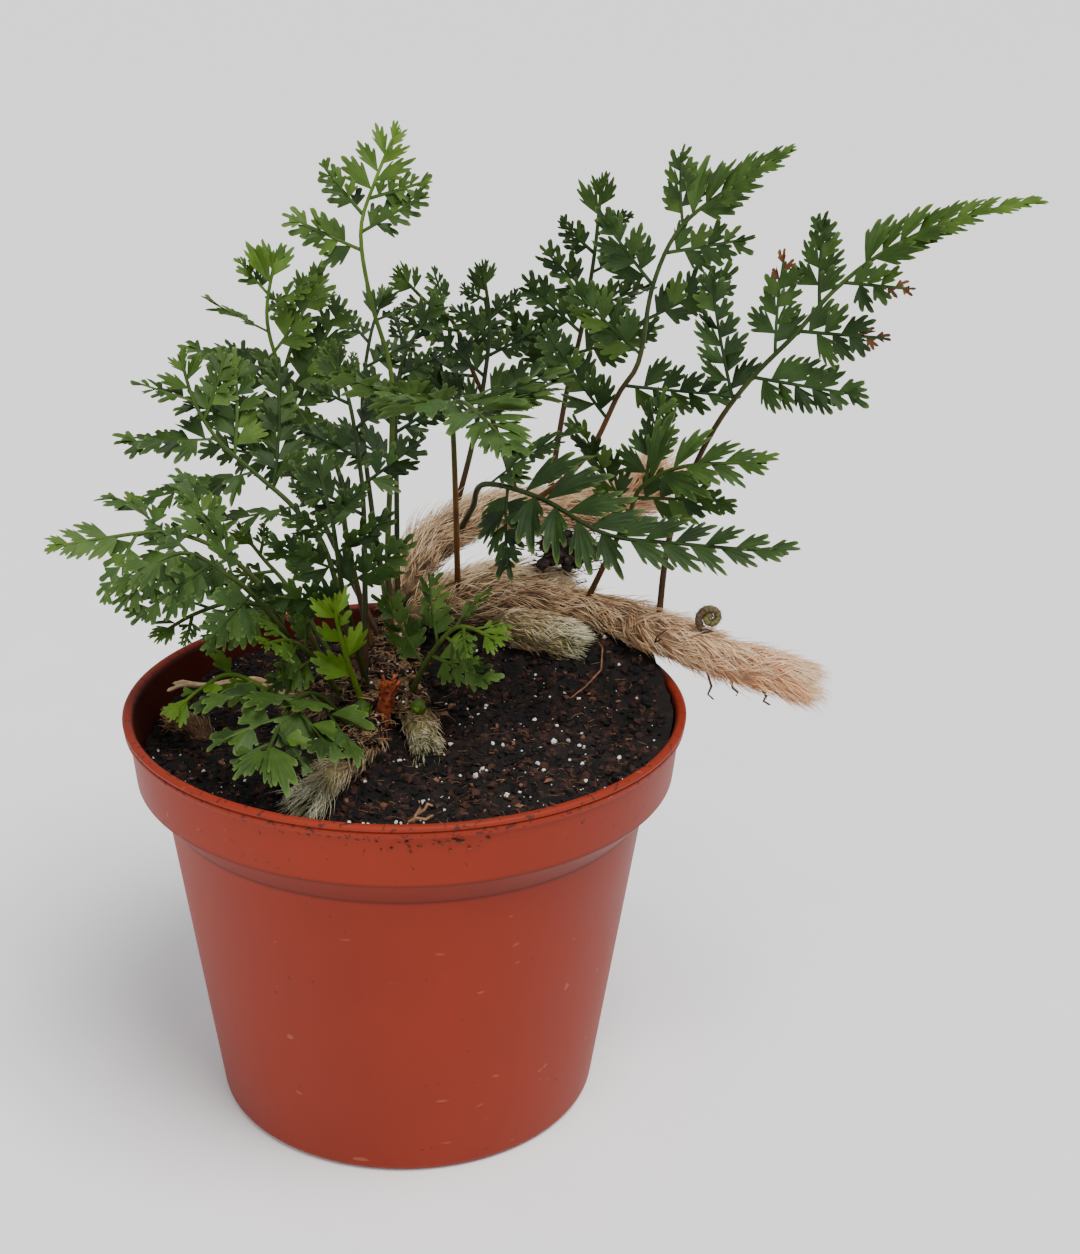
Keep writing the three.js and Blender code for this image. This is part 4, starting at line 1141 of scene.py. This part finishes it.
def build_buds(material):
    """Two round green buds at the crown, each wrapped in a few pale scales."""
    pile, count = Pile(), 16
    for middle, size in (((-9.5, -6.5, 91.5), 1.9), ((2.5, -5.5, 91.5), 1.6)):
        h = np.linspace(-1, 1, 14)[1:-1]
        girth = np.column_stack([size * np.sqrt(1 - h * h) + 0.02, h * size * 1.15])
        points, faces = lathe(np.vstack([[0, -size], girth, [0, size * 1.25]]), 16)
        pile.put(points + np.array(middle), faces, tone=0.6, ripe=0.15)
        turn = random.random(count) * TURN
        spoke = np.stack([np.cos(turn), np.sin(turn), 0 * turn], axis=1)
        base = np.array(middle) + spoke * size * 0.85 + [0, 0, -0.5 * size]
        put_pinnules(pile, base, unit(UP + 0.25 * spoke), np.cross(UP, spoke), unit(spoke),
                     length=size * chance(count, 0.9, 0.5), spread=0.5, lobes=2,
                     tone=chance(count, 0.6, 0.3), ripe=chance(count, 0.4, 0.4))
    pile.made("crown_buds", material, "leaf", crease=60)


def build_rootlets(material):
    """Thin roots: some hang under the creeping limb, one hair-like root curls over the peat, and
    a dark clump with old scales sits under the arch."""
    pile = Pile()
    lines = [
        [[42, 24, 96.5], [44, 20, 94.5], [43, 12, 92.5], [39, 6, 91], [36, 4, 89.5],
         [35, 3.8, 89]],
        [[66, 9, 96], [66.2, 8.4, 93], [67, 7, 90.4], [66.2, 6.4, 88.8], [67.4, 6, 87.8],
         [67.6, 5.9, 87.6]],
        [[77, 3.4, 94.5], [77.2, 3, 92], [78.4, 2.2, 90], [77.8, 2, 89], [79, 1.4, 88.4],
         [79.4, 1.3, 88.3]],
        [[71, 6, 95], [71.1, 5.9, 92.6], [71.4, 5.2, 90.8], [72.6, 4.8, 89.8], [72.2, 4.6, 89.2],
         [72.1, 4.6, 89]],
        [[57, 16, 98], [56.6, 13, 99.4], [54.4, 9.6, 100], [54.6, 8.6, 101.6], [56.6, 9, 103],
         [57, 9.2, 103.3]]]
    thick = np.array([0.22, 0.3, 0.35, 0.28, 0.22])[:, None]
    pile.put(*tubes(lines, thick * np.array([0, 1, 1, 0.85, 0.6, 0]), 6),
             tone=[0.75, 0.3, 0.35, 0.2, 0.15])
    count, middle = 240, np.array([38.0, 42.0, 110.0])
    start = middle + random.standard_normal((count, 3)) * [4.2, 2.0, 2.6]
    roots = strands(start, chance(count, 2, 4), random.standard_normal(count) * 0.8,
                    chance(count, 0.12, 0.14), bend=1.5)
    pile.put(*roots, tone=0.3 * chance(count))
    lumps = middle + random.standard_normal((150, 3)) * [2.7, 1.5, 1.5] + [0, 0, 0.6]
    strew(pile, lumps, (0.7, 1.3), 0.8, 0.9, tone=(-0.1, 0.2))
    pile.made("rootlets", material, "fur")


# ---------------------------------------------------------------- the scene

place_camera()
# Even light over the whole floor, as from a large soft ceiling panel
place_lamp("key", "SUN", 3.4, (1.0, 0.985, 0.96), Vector((0.3, -0.35, 1.0)).to_track_quat("Z", "Y"),
           angle=0.6)
# A square soft box at the viewer's left that looks at the middle of the plant
fill_place = Vector((-0.6, -0.9, 0.5))
fill_heading = (Vector((0.0, 0.0, 0.11)) - fill_place).to_track_quat("-Z", "Y")
place_lamp("fill", "AREA", 4, (0.96, 0.98, 1.0), fill_heading, shape="SQUARE",
           size=0.9).location = fill_place
world = bpy.data.worlds.new("studio")
world.use_nodes = True
sky = world.node_tree.nodes["Background"].inputs
sky["Color"].default_value = linear("#f6f7fa")
sky["Strength"].default_value = 0.6
bpy.context.scene.world = world

floor_mesh = bpy.data.meshes.new("floor")
floor_mesh.from_pydata([(-4, -4, 0), (4, -4, 0), (4, 4, 0), (-4, 4, 0)], [], [(0, 1, 2, 3)])
floor_mesh.materials.append(pale_floor())
floor = in_scene("floor", floor_mesh)

peat_finish = moist_peat()
build_pot(moulded_pot())
build_peat(peat_finish)
build_litter(peat_finish, perlite_grain(),
             plant_fibre("peat_fibre", ("#1c0f0a", "#4a2a1a", "#8f6a48")),
             plant_fibre("bark", ("#140b07", "#38200f", "#7a4e33")))
build_rhizomes(rhizome_skin(), rhizome_hair())
leaf = fern_leaf()
for frond_name, frond_spec in FRONDS.items():
    build_frond(frond_name, frond_spec, leaf)
build_crozier(plant_fibre("crozier_scales", ("#2a1a12", "#54402a", "#7c7c3c")))
build_old_stub(plant_fibre("rusty_scales", ("#4a1d0e", "#9a4520", "#d0713a"), 0.8))
build_dry_stalk(plant_fibre("dry_straw", ("#5d4530", "#a78760", "#d9bd92"), 1.0))
build_buds(leaf)
build_rootlets(plant_fibre("root_skin", ("#1d130e", "#553628", "#a5694c")))
